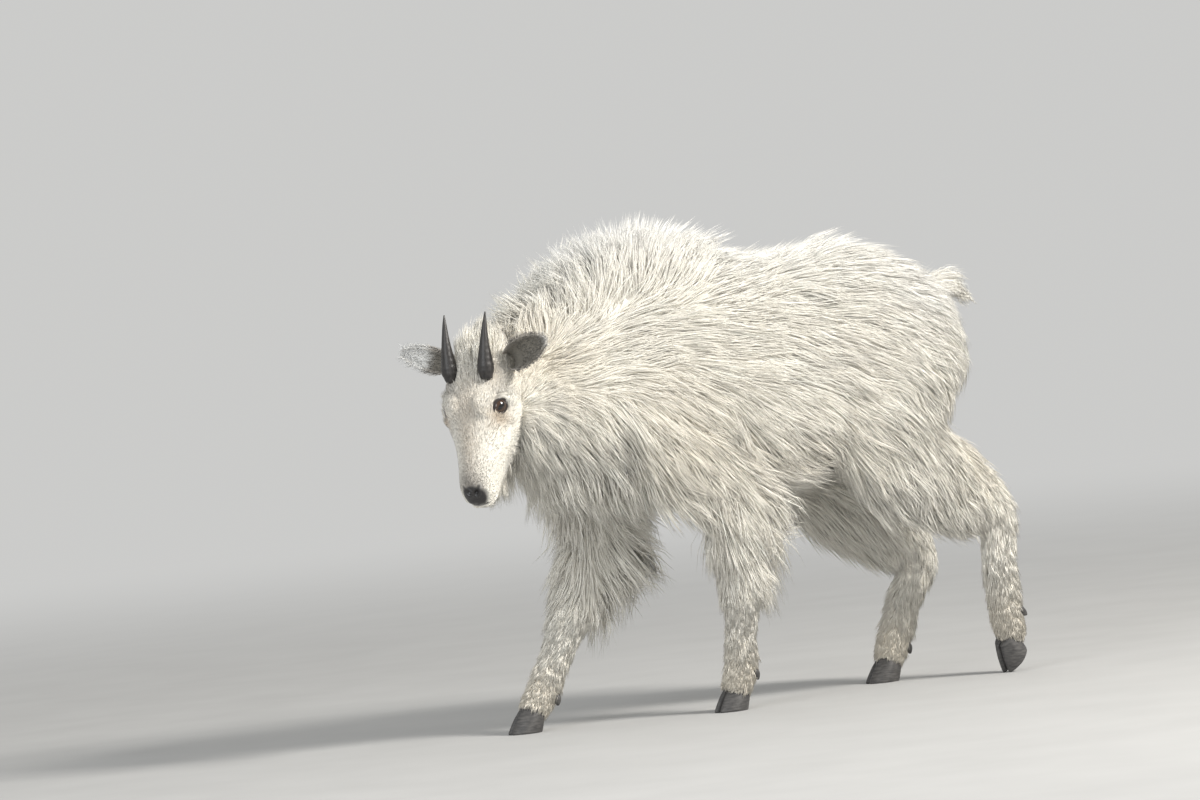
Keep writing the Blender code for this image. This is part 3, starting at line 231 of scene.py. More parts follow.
EAR_HAIR_RISES = (0.30, 0.10)
EAR_HAIR_WIDTH = 0.0007
EAR_HAIR_FROM = 0.30
EAR_HAIR_FAN = (0.9, 0.3)
EAR_HAIR_TURN = 0.12
EAR_HAIR_VARIETY = (0.7, 1.3)
EAR_TINT_VARIETY = 0.08
EAR_EDGE = (0.9, 1.0)

# The mouth's reach round the muzzle and its levels at the front and the corners, its lips, and the nose
MOUTH_ARC = math.radians(74)
MOUTH_FRONT = -0.010
MOUTH_CORNER = -0.024
MOUTH_CURVE = 1.4
MOUTH_CENTRE = 0.108
LIP_RADIUS = 0.0042
LIP_SHIFTS = (0.0052, -0.0050)
LIP_SUNK = 0.55
LIP_THINNING = 0.45
LIP_POINTS = 21
LIP_AROUND = 20
LIP_EDGE = (0.0035, 0.0015, 0.0004)
MOUTH_DEPTH = 0.0030
MOUTH_WIDTH = 0.0016
NOSTRIL = ((0.1185, 0.0050, 0.0050), (0.1160, 0.0095, 0.0095), (0.1105, 0.0135, 0.0120))
NOSE_FROM = 0.06
NOSTRIL_DEPTH = 0.0042
NOSTRIL_WIDTH = 0.0021
NOSTRIL_RIM = (0.0052, 0.0016, 0.0009)
NOSE_PAD = ((0.124, 0.0, 0.001), (0.0205, 0.0195, 0.0165))
NOSE_EDGE = (0.82, 0.34)
NOSTRIL_DARK = (0.0030, 0.0022)
MOUTH_DARK = (0.0017, 0.0016)

# A toe's hoof, by rings from the sole up, as (height, shift back, size), with its turn and tip in degrees
HOOF_LENGTH = 0.044
HOOF_WIDTH = 0.0205
HOOF_RINGS = (
    (0.0, 0.0, 0.97),
    (0.004, 0.0010, 1.0),
    (0.020, 0.0078, 0.90),
    (0.034, 0.0140, 0.70),
)
HOOF_AROUND = 40
HOOF_TAPER = 0.45
HOOF_ROUND = (0.62, 0.38)
HOOF_FLARE = 0.2
HOOF_LINES = 0.0036
HOOF_LINE = 0.007
HOOF_LINES_FROM = 0.003
HOOF_ROWS = 9
TOE_SINK = 0.0012
TOE_SPREAD = 0.0022
TOE_SPLAY = math.radians(4)
HOOF_TURN = {"fore_left": 6, "fore_right": 4, "hind_left": 8, "hind_right": 6}
HOOF_TIP = {"fore_left": 0, "fore_right": 0, "hind_left": 47, "hind_right": 0}
HOOF_AHEAD = {"fore_left": 0.010, "fore_right": 0.014, "hind_left": -0.006, "hind_right": 0.012}
DEWCLAW_RADII = (0.0052, 0.0060, 0.0056, 0.0040, 0.0012)
DEWCLAW_LENGTH = 0.015
DEWCLAW_SPREAD = 0.0120
DEWCLAW_BACK = 0.0140
DEWCLAW_WAY = (0.75, 0.62, 0.10)
DEWCLAW_AROUND = 20

# The head's coat starts in front of this plane, as (point, forward)
HEAD_PLANE = ((-0.336, 0.0, 0.426), (-0.932, -0.285, -0.225))
HEAD_LOW = 0.25
LEG_TOP = 0.297

# The lie of the coat: ((along, out, height), (lie), length, (rise at root, rise at tip))
COAT_LIE = (
    ((-0.355, 0.000, 0.545), (-1.0, 0.0, 0.5), 0.040, (60, 52)),
    ((-0.310, 0.000, 0.572), (-1.0, 0.0, 0.6), 0.048, (70, 60)),
    ((-0.250, 0.000, 0.610), (-1.0, 0.0, 0.5), 0.050, (76, 66)),
    ((-0.190, 0.000, 0.636), (-1.0, 0.0, 0.2), 0.046, (84, 76)),
    ((-0.130, 0.000, 0.646), (1.0, 0.0, 0.0), 0.044, (84, 62)),
    ((-0.060, 0.000, 0.634), (1.0, 0.0, -0.3), 0.050, (62, 36)),
    ((0.005, 0.000, 0.610), (1.0, 0.0, 0.0), 0.062, (36, 16)),
    ((0.080, 0.000, 0.603), (1.0, 0.0, 0.0), 0.070, (24, 14)),
    ((0.160, 0.000, 0.611), (1.0, 0.0, 0.0), 0.068, (22, 12)),
    ((0.240, 0.000, 0.590), (1.0, 0.0, -0.3), 0.064, (22, 12)),
    ((0.305, 0.000, 0.550), (1.0, 0.0, 0.1), 0.060, (18, 12)),
    ((0.332, 0.000, 0.490), (0.3, 0.0, -1.0), 0.056, (18, 10)),
    ((-0.335, 0.055, 0.545), (-0.2, 0.1, 1.0), 0.050, (30, 22)),
    ((-0.270, 0.065, 0.580), (-0.3, 0.0, 1.0), 0.062, (30, 24)),
    ((-0.190, 0.075, 0.610), (0.1, 0.0, 1.0), 0.062, (30, 24)),
    ((-0.110, 0.080, 0.615), (0.6, 0.0, 0.7), 0.062, (30, 22)),
    ((-0.030, 0.085, 0.600), (1.0, 0.1, 0.2), 0.070, (24, 14)),
    ((0.100, 0.090, 0.575), (1.0, 0.2, -0.3), 0.074, (20, 10)),
    ((0.230, 0.080, 0.560), (1.0, 0.0, -0.5), 0.064, (20, 10)),
    ((-0.345, 0.060, 0.490), (0.6, 0.5, 0.1), 0.048, (24, 14)),
    ((-0.280, 0.088, 0.510), (1.0, 0.2, 0.2), 0.062, (22, 12)),
    ((-0.200, 0.100, 0.520), (1.0, 0.1, -0.1), 0.074, (20, 10)),
    ((-0.090, 0.108, 0.510), (1.0, 0.0, -0.3), 0.080, (19, 9)),
    ((0.020, 0.116, 0.490), (1.0, 0.0, -0.4), 0.082, (18, 9)),
    ((0.130, 0.118, 0.480), (1.0, 0.0, -0.5), 0.076, (18, 9)),
    ((0.220, 0.110, 0.490), (0.8, 0.0, -0.7), 0.062, (18, 9)),
    ((0.290, 0.085, 0.480), (0.6, -0.2, -0.9), 0.056, (18, 9)),
    ((-0.345, 0.045, 0.430), (0.5, 0.2, -0.9), 0.054, (26, 18)),
    ((-0.300, 0.075, 0.410), (0.6, 0.1, -0.9), 0.070, (24, 16)),
    ((-0.210, 0.095, 0.420), (0.6, 0.0, -0.9), 0.080, (22, 13)),
    ((-0.110, 0.106, 0.400), (0.6, 0.0, -0.9), 0.084, (20, 12)),
    ((0.000, 0.114, 0.390), (0.8, 0.0, -0.7), 0.084, (19, 11)),
    ((0.110, 0.116, 0.390), (0.8, 0.0, -0.7), 0.078, (19, 11)),
    ((0.200, 0.112, 0.400), (0.5, 0.0, -0.9), 0.064, (18, 10)),
    ((0.280, 0.095, 0.400), (0.3, 0.0, -1.0), 0.056, (18, 9)),
    ((-0.300, 0.020, 0.362), (0.1, 0.0, -1.0), 0.080, (54, 42)),
    ((-0.280, 0.035, 0.320), (-0.2, 0.0, -1.0), 0.074, (46, 32)),
    ((-0.240, 0.040, 0.332), (0.2, 0.0, -1.0), 0.080, (40, 30)),
    ((-0.262, 0.060, 0.258), (-0.3, 0.0, -1.0), 0.066, (30, 18)),
    ((-0.150, 0.050, 0.308), (1.0, 0.0, -0.2), 0.070, (32, 18)),
    ((-0.020, 0.050, 0.300), (1.0, 0.0, 0.0), 0.066, (24, 12)),
    ((-0.008, 0.085, 0.288), (1.0, 0.0, -0.4), 0.088, (36, 26)),
    ((0.080, 0.060, 0.302), (1.0, 0.0, 0.0), 0.062, (24, 12)),
    ((0.170, 0.050, 0.322), (0.9, 0.0, -0.2), 0.056, (26, 14)),
    ((-0.110, 0.110, 0.290), (0.3, 0.0, -1.0), 0.084, (20, 14)),
    ((-0.060, 0.118, 0.262), (0.2, 0.0, -1.0), 0.076, (18, 12)),
    ((-0.030, 0.085, 0.250), (0.8, 0.0, -0.6), 0.090, (36, 26)),
    ((-0.045, 0.078, 0.205), (0.7, 0.0, -0.8), 0.068, (30, 20)),
    ((-0.090, 0.080, 0.205), (-0.1, 0.0, -1.0), 0.044, (16, 9)),
    ((-0.215, 0.105, 0.250), (-0.3, 0.0, -1.0), 0.074, (20, 12)),
    ((-0.160, 0.080, 0.250), (0.8, 0.0, -0.6), 0.092, (38, 28)),
    ((-0.190, 0.070, 0.205), (0.6, 0.0, -0.8), 0.078, (34, 24)),
    ((-0.260, 0.070, 0.200), (-0.5, 0.0, -0.9), 0.046, (18, 9)),
    ((0.120, 0.095, 0.330), (0.4, 0.0, -0.9), 0.070, (18, 12)),
    ((0.150, 0.090, 0.285), (0.6, 0.0, -0.8), 0.074, (22, 15)),
    ((0.200, 0.100, 0.290), (0.4, 0.0, -0.9), 0.068, (18, 11)),
    ((0.235, 0.085, 0.250), (0.5, 0.0, -0.9), 0.058, (26, 16)),
    ((0.250, 0.112, 0.320), (0.4, 0.0, -0.9), 0.060, (18, 10)),
    ((0.320, 0.080, 0.330), (0.4, 0.0, -0.9), 0.052, (18, 9)),
    ((0.345, 0.080, 0.260), (0.4, 0.0, -0.9), 0.044, (16, 8)),
    ((-0.063, 0.075, 0.150), (0.0, 0.0, -1.0), 0.027, (17, 9)),
    ((-0.066, 0.072, 0.105), (-0.1, 0.0, -1.0), 0.026, (22, 12)),
    ((-0.071, 0.070, 0.062), (-0.1, 0.0, -1.0), 0.018, (22, 15)),
    ((-0.083, 0.068, 0.034), (-0.2, 0.0, -1.0), 0.015, (24, 16)),
    ((-0.268, 0.062, 0.130), (-0.5, 0.0, -0.8), 0.027, (17, 9)),
    ((-0.290, 0.059, 0.093), (-0.5, 0.0, -0.8), 0.026, (22, 12)),
    ((-0.312, 0.056, 0.058), (-0.5, 0.0, -0.8), 0.018, (22, 15)),
    ((-0.334, 0.052, 0.034), (-0.4, 0.0, -0.9), 0.015, (24, 16)),
    ((0.340, 0.083, 0.215), (0.1, 0.0, -1.0), 0.032, (17, 9)),
    ((0.346, 0.079, 0.150), (0.1, 0.0, -1.0), 0.028, (22, 12)),
    ((0.350, 0.075, 0.090), (0.1, 0.0, -1.0), 0.019, (22, 15)),
    ((0.356, 0.071, 0.056), (0.2, 0.0, -1.0), 0.015, (24, 16)),
    ((0.300, 0.076, 0.165), (-0.2, 0.0, -1.0), 0.032, (17, 9)),
    ((0.272, 0.071, 0.110), (-0.4, 0.0, -0.9), 0.028, (22, 12)),
    ((0.247, 0.066, 0.060), (-0.3, 0.0, -0.9), 0.019, (22, 15)),
    ((0.233, 0.062, 0.034), (-0.3, 0.0, -0.9), 0.015, (24, 16)),
    ((0.340, 0.000, 0.562), (1.0, 0.0, 0.0), 0.036, (12, 6)),
    ((0.371, 0.000, 0.545), (0.8, 0.0, -0.6), 0.040, (16, 10)),
    ((0.350, 0.015, 0.540), (0.7, 0.1, -0.7), 0.044, (14, 8)),
    ((0.350, 0.000, 0.525), (0.5, 0.0, -0.9), 0.050, (18, 10)),
)

# The lie of the head's coat in its own frame, in the same form
HEAD_LIE = (
    ((0.104, 0.000, 0.018), (-1.0, 0.0, 0.0), 0.0045, (16, 10)),
    ((0.070, 0.000, 0.018), (-1.0, 0.0, 0.0), 0.0075, (18, 12)),
    ((0.035, 0.000, 0.022), (-1.0, 0.0, 0.0), 0.0100, (20, 13)),
    ((0.000, 0.000, 0.026), (-1.0, 0.0, 0.1), 0.0130, (24, 16)),
    ((-0.030, 0.000, 0.025), (-1.0, 0.0, 0.2), 0.0180, (32, 28)),
    ((-0.060, 0.000, 0.016), (-1.0, 0.0, 0.4), 0.0270, (44, 40)),
    ((-0.080, 0.000, 0.006), (-1.0, 0.0, 0.4), 0.0360, (50, 44)),
    ((0.020, 0.022, 0.018), (-1.0, 0.1, 0.0), 0.0100, (18, 12)),
    ((-0.020, 0.032, 0.014), (-1.0, 0.2, 0.0), 0.0120, (22, 16)),
    ((0.110, 0.018, 0.000), (-1.0, 0.3, -0.2), 0.0035, (16, 10)),
    ((0.080, 0.026, -0.010), (-1.0, 0.1, -0.3), 0.0065, (17, 10)),
    ((0.045, 0.036, -0.015), (-1.0, 0.2, -0.3), 0.0090, (18, 11)),
    ((0.020, 0.046, -0.020), (-1.0, 0.3, -0.5), 0.0120, (19, 12)),
    ((-0.020, 0.050, -0.020), (-1.0, 0.3, -0.5), 0.0160, (22, 15)),
    ((-0.055, 0.044, -0.030), (-1.0, 0.4, -0.5), 0.0140, (18, 12)),
    ((0.128, 0.008, -0.022), (-0.3, 0.2, -1.0), 0.0035, (20, 12)),
    ((0.122, 0.008, -0.036), (0.3, 0.1, -1.0), 0.0090, (28, 18)),
    ((0.100, 0.024, -0.026), (-0.6, 0.1, -0.8), 0.0060, (18, 11)),
    ((0.075, 0.028, -0.036), (-0.3, 0.1, -1.0), 0.0130, (20, 13)),
    ((0.050, 0.036, -0.042), (0.0, 0.2, -1.0), 0.0190, (21, 14)),
    ((0.105, 0.000, -0.048), (1.0, 0.0, -0.6), 0.0260, (38, 24)),
    ((0.080, 0.006, -0.060), (1.0, 0.0, -0.6), 0.0450, (44, 34)),
    ((0.050, 0.008, -0.078), (0.9, 0.0, -0.6), 0.0620, (48, 38)),
    ((0.015, 0.010, -0.092), (0.9, 0.0, -0.5), 0.0760, (46, 36)),
    ((0.075, 0.022, -0.052), (0.9, 0.2, -0.8), 0.0400, (28, 20)),
    ((0.045, 0.030, -0.062), (0.8, 0.2, -0.8), 0.0560, (28, 20)),
    ((0.010, 0.038, -0.068), (0.9, 0.2, -0.6), 0.0740, (28, 21)),
    ((-0.030, 0.042, -0.066), (0.8, 0.3, -0.6), 0.0700, (28, 20)),
)
LIE_BLUR = 0.010
LIE_SHARPNESS = 3

# The hairs: counts, widths, how they wave, vary and gather in clumps, and what stays bare
BODY_ROOTS = 300000
HEAD_ROOTS = 100000
LONG_HAIRS = 52000
SHORT_HAIRS = 26000
FACE_HAIRS = 24000
BEARD_HAIRS = 8000
LONG_FROM = 0.030
BEARD_FROM = 0.018
LONG_STEPS = (0.30, 0.66, 1.0)
SHORT_STEPS = (0.50, 1.0)
LONG_PROFILE = (0.8, 1.0, 0.74)
SHORT_PROFILE = (0.9, 1.0)
LONG_WIDTH = 0.0014
SHORT_WIDTH = 0.0015
FACE_WIDTH = 0.00105
BEARD_WIDTH = 0.0011
HAIR_DEPTH = 0.34
HAIR_SUNK = 0.0022
HAIR_CLEAR = 0.0016
CLUMP_SIZE = 13
CLUMP_PULL = (0.05, 0.44)
SHORT_PULL = 0.35
PULL_POWER = 1.3
CLUMP_TURN = 0.16
HAIR_TURN = 0.08
FACE_TURN = (0.03, 0.05)
LENGTH_VARIETY = (0.14, 0.14)
LENGTH_LIMITS = (0.45, 1.36)
WIDTH_VARIETY = (0.7, 1.25)
RISE_VARIETY = 0.16
RISE_LIMITS = ((0.5, 1.35), (0.4, 1.6))
WAVE_HIGH = 0.022
WAVE_VARIETY = (0.3, 1.4)
WAVE_COUNT = (0.5, 1.3)
HAIR_TWIST = 0.45
TINT_VARIETY = (0.018, 0.024)
TINT_LIMITS = (0.004, 0.95)
BARE_EYE = 1.46
BARE_HORN = 0.0078
BARE_NOSE = 0.98
BARE_NOSTRIL = 0.0042
BARE_MOUTH = 0.0027
BARE_EAR = (0.30, 0.0085)
FLOOR_CLEAR = 0.012
PATCH = 0.003
MAP_EDGE = 0.005
MAP_SPAN = 0.985
MAP_START = (0.31, 0.87, 0.38)

# The coat's pieces: the trunk's parts between two places along it, and the lines that they are unrolled round
TRUNK_PARTS = (("neck", -1.0, -0.21), ("shoulder", -0.21, -0.06), ("flank", -0.06, 0.13), ("rump", 0.13, 1.0))
LIMB_PARTS = (("fore", FORELEG, -1.0, 0.05), ("hind", HINDLEG, 0.05, 1.0))
SPINE = ((-0.40, 0.0, 0.47), (0.40, 0.0, 0.47))
FACE_LINE = ((-0.10, 0.0, -0.03), (0.14, 0.0, -0.015))

# The cracked plates of the thigh's coat, as (along, height) of their middle, reach and cell, with their count
THIGH_MIDDLE = (0.205, 0.340)
THIGH_REACH = (0.085, 0.085)
THIGH_CELL = (0.0125, 0.0170)
THIGH_CELLS = 190
CRACK_WIDTH = 0.20
CRACK_SHORTER = 0.42
# Hairs in the cracks are painted darker by this share: painted shade in the gaps between the plates
CRACK_PAINTED_SHADE = 0.38
CRACK_SEED = 3
CRACK_SPREAD = 1.4
CRACK_OUT = 0.05
CRACK_FROM = (0.1, 0.6)

# Colours of the coat, skin, ears, horns and hooves, and of the iris from its middle out
CREAM = (0.930, 0.900, 0.825)
WHITE = (0.940, 0.930, 0.900)
WARM = (0.900, 0.825, 0.690)
TAN = (0.520, 0.395, 0.270)
LEG_CREAM = (0.820, 0.750, 0.630)
DUSK = (0.300, 0.270, 0.240)
BLACK = (0.018, 0.016, 0.016)
LID_BROWN = (0.030, 0.020, 0.016)
LID_BLACK = (0.012, 0.009, 0.008)
IRIS = (
    (0.0, (0.034, 0.016, 0.008)),
    (0.55, (0.046, 0.022, 0.010)),
    (0.74, (0.020, 0.010, 0.006)),
    (0.86, (0.006, 0.005, 0.005)),
)
EAR_DARK = (0.240, 0.222, 0.190)
EAR_PALE = (0.480, 0.445, 0.400)
EAR_BACK = (0.150, 0.138, 0.128)
HORN_TONES = ((0.050, 0.045, 0.042), (0.010, 0.009, 0.009))
HOOF_TONES = ((0.110, 0.105, 0.100), (0.022, 0.021, 0.022))
# Hairs are painted darker towards their roots by this share: painted shade deep in the coat
ROOT_PAINTED_SHADE = 0.96

# Soft spots of colour on the body, as (centre, reach, colour, strength), where out is either side
BODY_MARKS = (
    ((-0.200, 0.000, 0.640), (0.200, 0.060, 0.050), WHITE, 0.9),
    ((0.050, 0.000, 0.620), (0.300, 0.090, 0.060), WHITE, 0.7),
    ((0.250, 0.060, 0.560), (0.090, 0.070, 0.060), WHITE, 0.6),
    ((-0.340, 0.060, 0.500), (0.050, 0.060, 0.050), WARM, 0.55),
    ((-0.170, 0.110, 0.400), (0.090, 0.050, 0.090), WARM, 0.35),
    ((0.050, 0.120, 0.350), (0.120, 0.050, 0.050), WARM, 0.35),
    ((0.300, 0.090, 0.330), (0.070, 0.050, 0.080), WARM, 0.35),
    ((-0.070, 0.070, 0.040), (0.070, 0.060, 0.060), LEG_CREAM, 0.75),
    ((-0.325, 0.055, 0.040), (0.060, 0.060, 0.060), LEG_CREAM, 0.75),
    ((0.355, 0.072, 0.070), (0.060, 0.060, 0.060), LEG_CREAM, 0.75),
    ((0.235, 0.064, 0.040), (0.060, 0.060, 0.060), LEG_CREAM, 0.75),
)
HEAD_MARKS = (
    ((0.010, 0.000, 0.026), (0.038, 0.024, 0.020), TAN, 0.34),
    ((0.020, 0.036, 0.004), (0.016, 0.012, 0.014), TAN, 0.70),
    ((0.065, 0.000, 0.018), (0.040, 0.014, 0.014), TAN, 0.34),
    ((-0.030, 0.034, 0.012), (0.018, 0.012, 0.014), TAN, 0.30),
    ((0.104, 0.000, 0.014), (0.020, 0.016, 0.012), DUSK, 0.55),
    ((0.118, 0.000, 0.010), (0.017, 0.019, 0.012), DUSK, 0.85),
    ((0.001, 0.0420, 0.006), (0.0150, 0.0110, 0.0110), LID_BROWN, 0.60),
)

# The camera's view of the goat: its turn, rise, roll and distance, and the pixel that its target falls on
VIEW_TURN = math.radians(-28)
VIEW_RISE = math.radians(2)
VIEW_ROLL = math.radians(6)
VIEW_DISTANCE = 12.0
VIEW_TARGET = np.array((0.0, 0.0, 0.42))
METRES_A_PIXEL = 0.00138
TARGET_PIXEL = (735, 400)
IMAGE = (1200, 800)
SENSOR = 36.0
VIEW_END = 200.0

# The floor, the world behind it and the lamps, as (name, place, size, power, colour)
FLOOR_REACH = 90.0
FLOOR_FADE = (1.2, 6.0)
FLOOR_TONES = ((0.46, 0.46, 0.455), (0.49, 0.49, 0.485))
PALE = (0.60, 0.60, 0.59)
LAMPS = (
    ("key", (2.2, -3.6, 3.4), 1.3, 310.0, (1.0, 0.965, 0.91)),
    ("fill", (-3.6, -2.2, 1.6), 2.4, 60.0, (0.92, 0.96, 1.0)),
)
LAMP_TARGET = (0.0, 0.0, 0.35)


def unit(vectors):
    """Vectors over their own length."""
    return vectors / np.maximum(np.linalg.norm(vectors, axis=-1, keepdims=True), 1e-12)


def dot(a, b):
    """The sums of the products of two arrays of vectors, kept as a column."""
    return np.sum(a * b, -1, keepdims=True)


def finer(rows, times):
    """Rows put in between the given ones, on the cubic through them whose slopes are the steps round each."""
    rows = np.asarray(rows, float)
    slope = np.gradient(rows, axis=0)
    place = np.linspace(0, len(rows) - 1, (len(rows) - 1) * times + 1)
    i = np.minimum(place.astype(int), len(rows) - 2)
    u = (place - i)[:, None]
    near = (2 * u**3 - 3 * u**2 + 1) * rows[i] + (u**3 - 2 * u**2 + u) * slope[i]
    return near + (3 * u**2 - 2 * u**3) * rows[i + 1] + (u**3 - u**2) * slope[i + 1]


def head_matrix():
    """The matrix from the head's frame to the goat's: turned by HEAD_TURN, then dropped by HEAD_DROP."""
    level = Vector((-math.cos(HEAD_TURN), -math.sin(HEAD_TURN), 0))
    up = Vector((0, 0, 1))
    muzzle = level * math.cos(HEAD_DROP) - up * math.sin(HEAD_DROP)
    forehead = level * math.sin(HEAD_DROP) + up * math.cos(HEAD_DROP)
    turn = Matrix((muzzle, forehead.cross(muzzle), forehead)).transposed().to_4x4()
    return Matrix.Translation(HEAD_CENTRE) @ turn


HEAD_TO_GOAT = head_matrix()
HEAD_AXES = np.array(HEAD_TO_GOAT.to_3x3())
HEAD_ORIGIN = np.array(HEAD_TO_GOAT.translation)
eye_low, eye_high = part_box("eye_left")
SHIFT = np.array((Vector(eye_low) + Vector(eye_high)) / 2 - HEAD_TO_GOAT @ EYE_PLACE)


def to_goat(points):
    """Points of the head's frame in the goat's."""
    return points @ HEAD_AXES.T + HEAD_ORIGIN


def to_head(points):
    """Points of the goat's frame in the head's."""
    return (points - HEAD_ORIGIN) @ HEAD_AXES


def mirrored(point, sign):
    """A point of the head's frame on the side that sign gives, +1 for the left."""
    return Vector((point[0], point[1] * sign, point[2]))


def side_name(sign):
    """The word for a side of the head, where +1 is the left."""
    return "left" if sign > 0 else "right"


def outward(points, faces):
    """The triangles turned so that the sum of a . (b x c) over them, six times the volume, is positive."""
    a, b, c = (points[faces[:, i]] for i in range(3))
    return faces if np.sum(a * np.cross(b, c)) > 0 else faces[:, ::-1]


def cells(i, n, j, k):
    """The four corners of each cell between the rows that start at i and n and the columns j and k."""
    return np.stack([i + j, i + k, n + k, n + j], -1).reshape(-1, 4)


def halved(quads):
    """Two triangles from each four corners."""
    return np.concatenate([quads[:, [0, 1, 2]], quads[:, [0, 2, 3]]])


def closed(rings):
    """Points and triangles through rings that close round, each end closed by a fan to its middle."""
    rows, around = rings.shape[:2]
    points = np.concatenate([rings.reshape(-1, 3), rings[0].mean(0)[None], rings[-1].mean(0)[None]])
    i = (np.arange(rows - 1) * around)[:, None]
    j = np.arange(around)[None]
    k = (j + 1) % around
    wall = halved(cells(i, i + around, j, k))
    last = (rows - 1) * around
    j, k = j[0], k[0]
    root = np.stack([k, j, np.full(around, rows * around)], -1)
    tip = np.stack([last + j, last + k, np.full(around, rows * around + 1)], -1)
    faces = np.concatenate([wall, root, tip])
    return points, outward(points - points.mean(0), faces)


def together(parts):
    """One set of points and triangles from several."""
    start = np.cumsum([0] + [len(points) for points, _ in parts[:-1]])
    return (
        np.concatenate([points for points, _ in parts]),
        np.concatenate([faces + s for (_, faces), s in zip(parts, start)]),
    )


def piece(name, points, faces, smooth=True):
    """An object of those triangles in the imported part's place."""
    mesh = bpy.data.meshes.new(name)
    mesh.vertices.add(len(points))
    mesh.vertices.foreach_set("co", np.ascontiguousarray(points + SHIFT, np.float32).ravel())
    mesh.loops.add(len(faces) * 3)
    mesh.loops.foreach_set("vertex_index", np.ascontiguousarray(faces, np.int32).ravel())
    mesh.polygons.add(len(faces))
    mesh.polygons.foreach_set("loop_start", np.arange(len(faces), dtype=np.int32) * 3)
    mesh.update(calc_edges=True)
    mesh.polygons.foreach_set("use_smooth", np.full(len(faces), smooth))
    made = bpy.data.objects.new(name, mesh)
    bpy.context.scene.collection.objects.link(made)
    return made


def dressed(made, slot, *looks):
    """Gives the object its materials, and lets it ride on the goat's one body. The slot is not used."""
    for look in looks:
        made.data.materials.append(look)
    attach(made, "root")
    return made


def painted(made, name, colours):
    """Stores one colour for each point of the object's mesh."""
    layer = made.data.color_attributes.new(name, "FLOAT_COLOR", "POINT")
    full = np.ones((len(colours), 4), np.float32)
    full[:, :3] = colours
    layer.data.foreach_set("color", full.ravel())


def applied(target):
    """Replaces the object's mesh by what its modifiers make of it."""
    graph = bpy.context.evaluated_depsgraph_get()
    mesh = bpy.data.meshes.new_from_object(target.evaluated_get(graph))
    old = target.data
    target.modifiers.clear()
    target.data = mesh
    bpy.data.meshes.remove(old)
    return target


def remeshed(target, voxel, steps):
    """Fuses what the object holds into one smooth skin."""
    fuse = target.modifiers.new("fuse", "REMESH")
    fuse.mode = "VOXEL"
    fuse.voxel_size = voxel
    smooth = target.modifiers.new("smooth", "SMOOTH")
    smooth.factor = SMOOTH_FACTOR
    smooth.iterations = steps
    return applied(target)


def points_of(target):
    """The object's points and their normals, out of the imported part's place."""
    mesh = target.data
    points = np.empty(len(mesh.vertices) * 3, np.float32)
    normals = np.empty(len(mesh.vertices) * 3, np.float32)
    mesh.vertices.foreach_get("co", points)
    mesh.vertex_normals.foreach_get("vector", normals)
    return points.reshape(-1, 3).astype(float) - SHIFT, normals.reshape(-1, 3).astype(float)


def triangles_of(target):
    """The object's faces as triangles."""
    mesh = target.data
    mesh.calc_loop_triangles()
    faces = np.empty(len(mesh.loop_triangles) * 3, np.int32)
    mesh.loop_triangles.foreach_get("vertices", faces)
    return faces.reshape(-1, 3)


def superellipse(count, power):
    """Points (cos, sin) round a unit circle, each to the power 2 over power, which squares it up."""
    turn = np.arange(count) * 2 * math.pi / count
    cosine, sine = np.cos(turn), np.sin(turn)
    return (
        np.sign(cosine) * np.abs(cosine) ** (2 / power),
        np.sign(sine) * np.abs(sine) ** (2 / power),
    )


def trunk_rings():
    """Upright ovals along the trunk, narrower above: height is the middle plus up times half the depth."""
    along, back, belly, half, sideways = finer(TRUNK, ROWS_BETWEEN).T[:, :, None]
    back, belly, half = back - TRUNK_DEPTH, belly + TRUNK_DEPTH, half - TRUNK_DEPTH
    across, up = superellipse(TRUNK_AROUND, TRUNK_SQUARENESS)
    height = (back + belly) / 2 + up * (back - belly) / 2
    width = sideways + across * half * (1 - BACK_NARROWER * np.clip(up, 0, 1))
    return np.stack([along + 0 * up, width, height], -1)


def tube_rings(centres, girths, front, around):
    """Ovals square to a path: centre + ahead x deep x sin + side x wide x cos.

    Ahead is the part of front that is square to the path, and side is square to both.
    """
    axis = unit(np.gradient(centres, axis=0))
    ahead = unit(front - axis * dot(axis, front))
    side = np.cross(axis, ahead)
    turn = np.arange(around) * 2 * math.pi / around
    deep = (ahead * girths[:, :1])[:, None] * np.sin(turn)[:, None]
    wide = (side * girths[:, 1:])[:, None] * np.cos(turn)[:, None]
    return centres[:, None] + deep + wide


def leg_rows(joints, girths, limb, sign):
    """The centres and girths along a leg, with its muscle and its narrow cannon put between the joints."""
    names = list(joints)
    centres = []
    sizes = []
    for name, following in zip(names, names[1:] + [None]):
        here = np.array(joints[name]) * (1, sign, 1)
        centres.append(here)
        sizes.append(np.array(girths[name]))
        if following is None:
            continue
        after = np.array(joints[following]) * (1, sign, 1)
        mean = (np.array(girths[name]) + girths[following]) / 2
        if name == MUSCLE[limb][0]:
            centres.append(here + (after - here) * MUSCLE[limb][1])
            sizes.append(mean * MUSCLE_SIZE)
        if following == "fetlock":
            centres.append((here + after) / 2)
            sizes.append(mean * CANNON_WAIST)
    rows = finer(np.hstack([centres, sizes]), ROWS_BETWEEN)
    return rows[:, :3], rows[:, 3:]


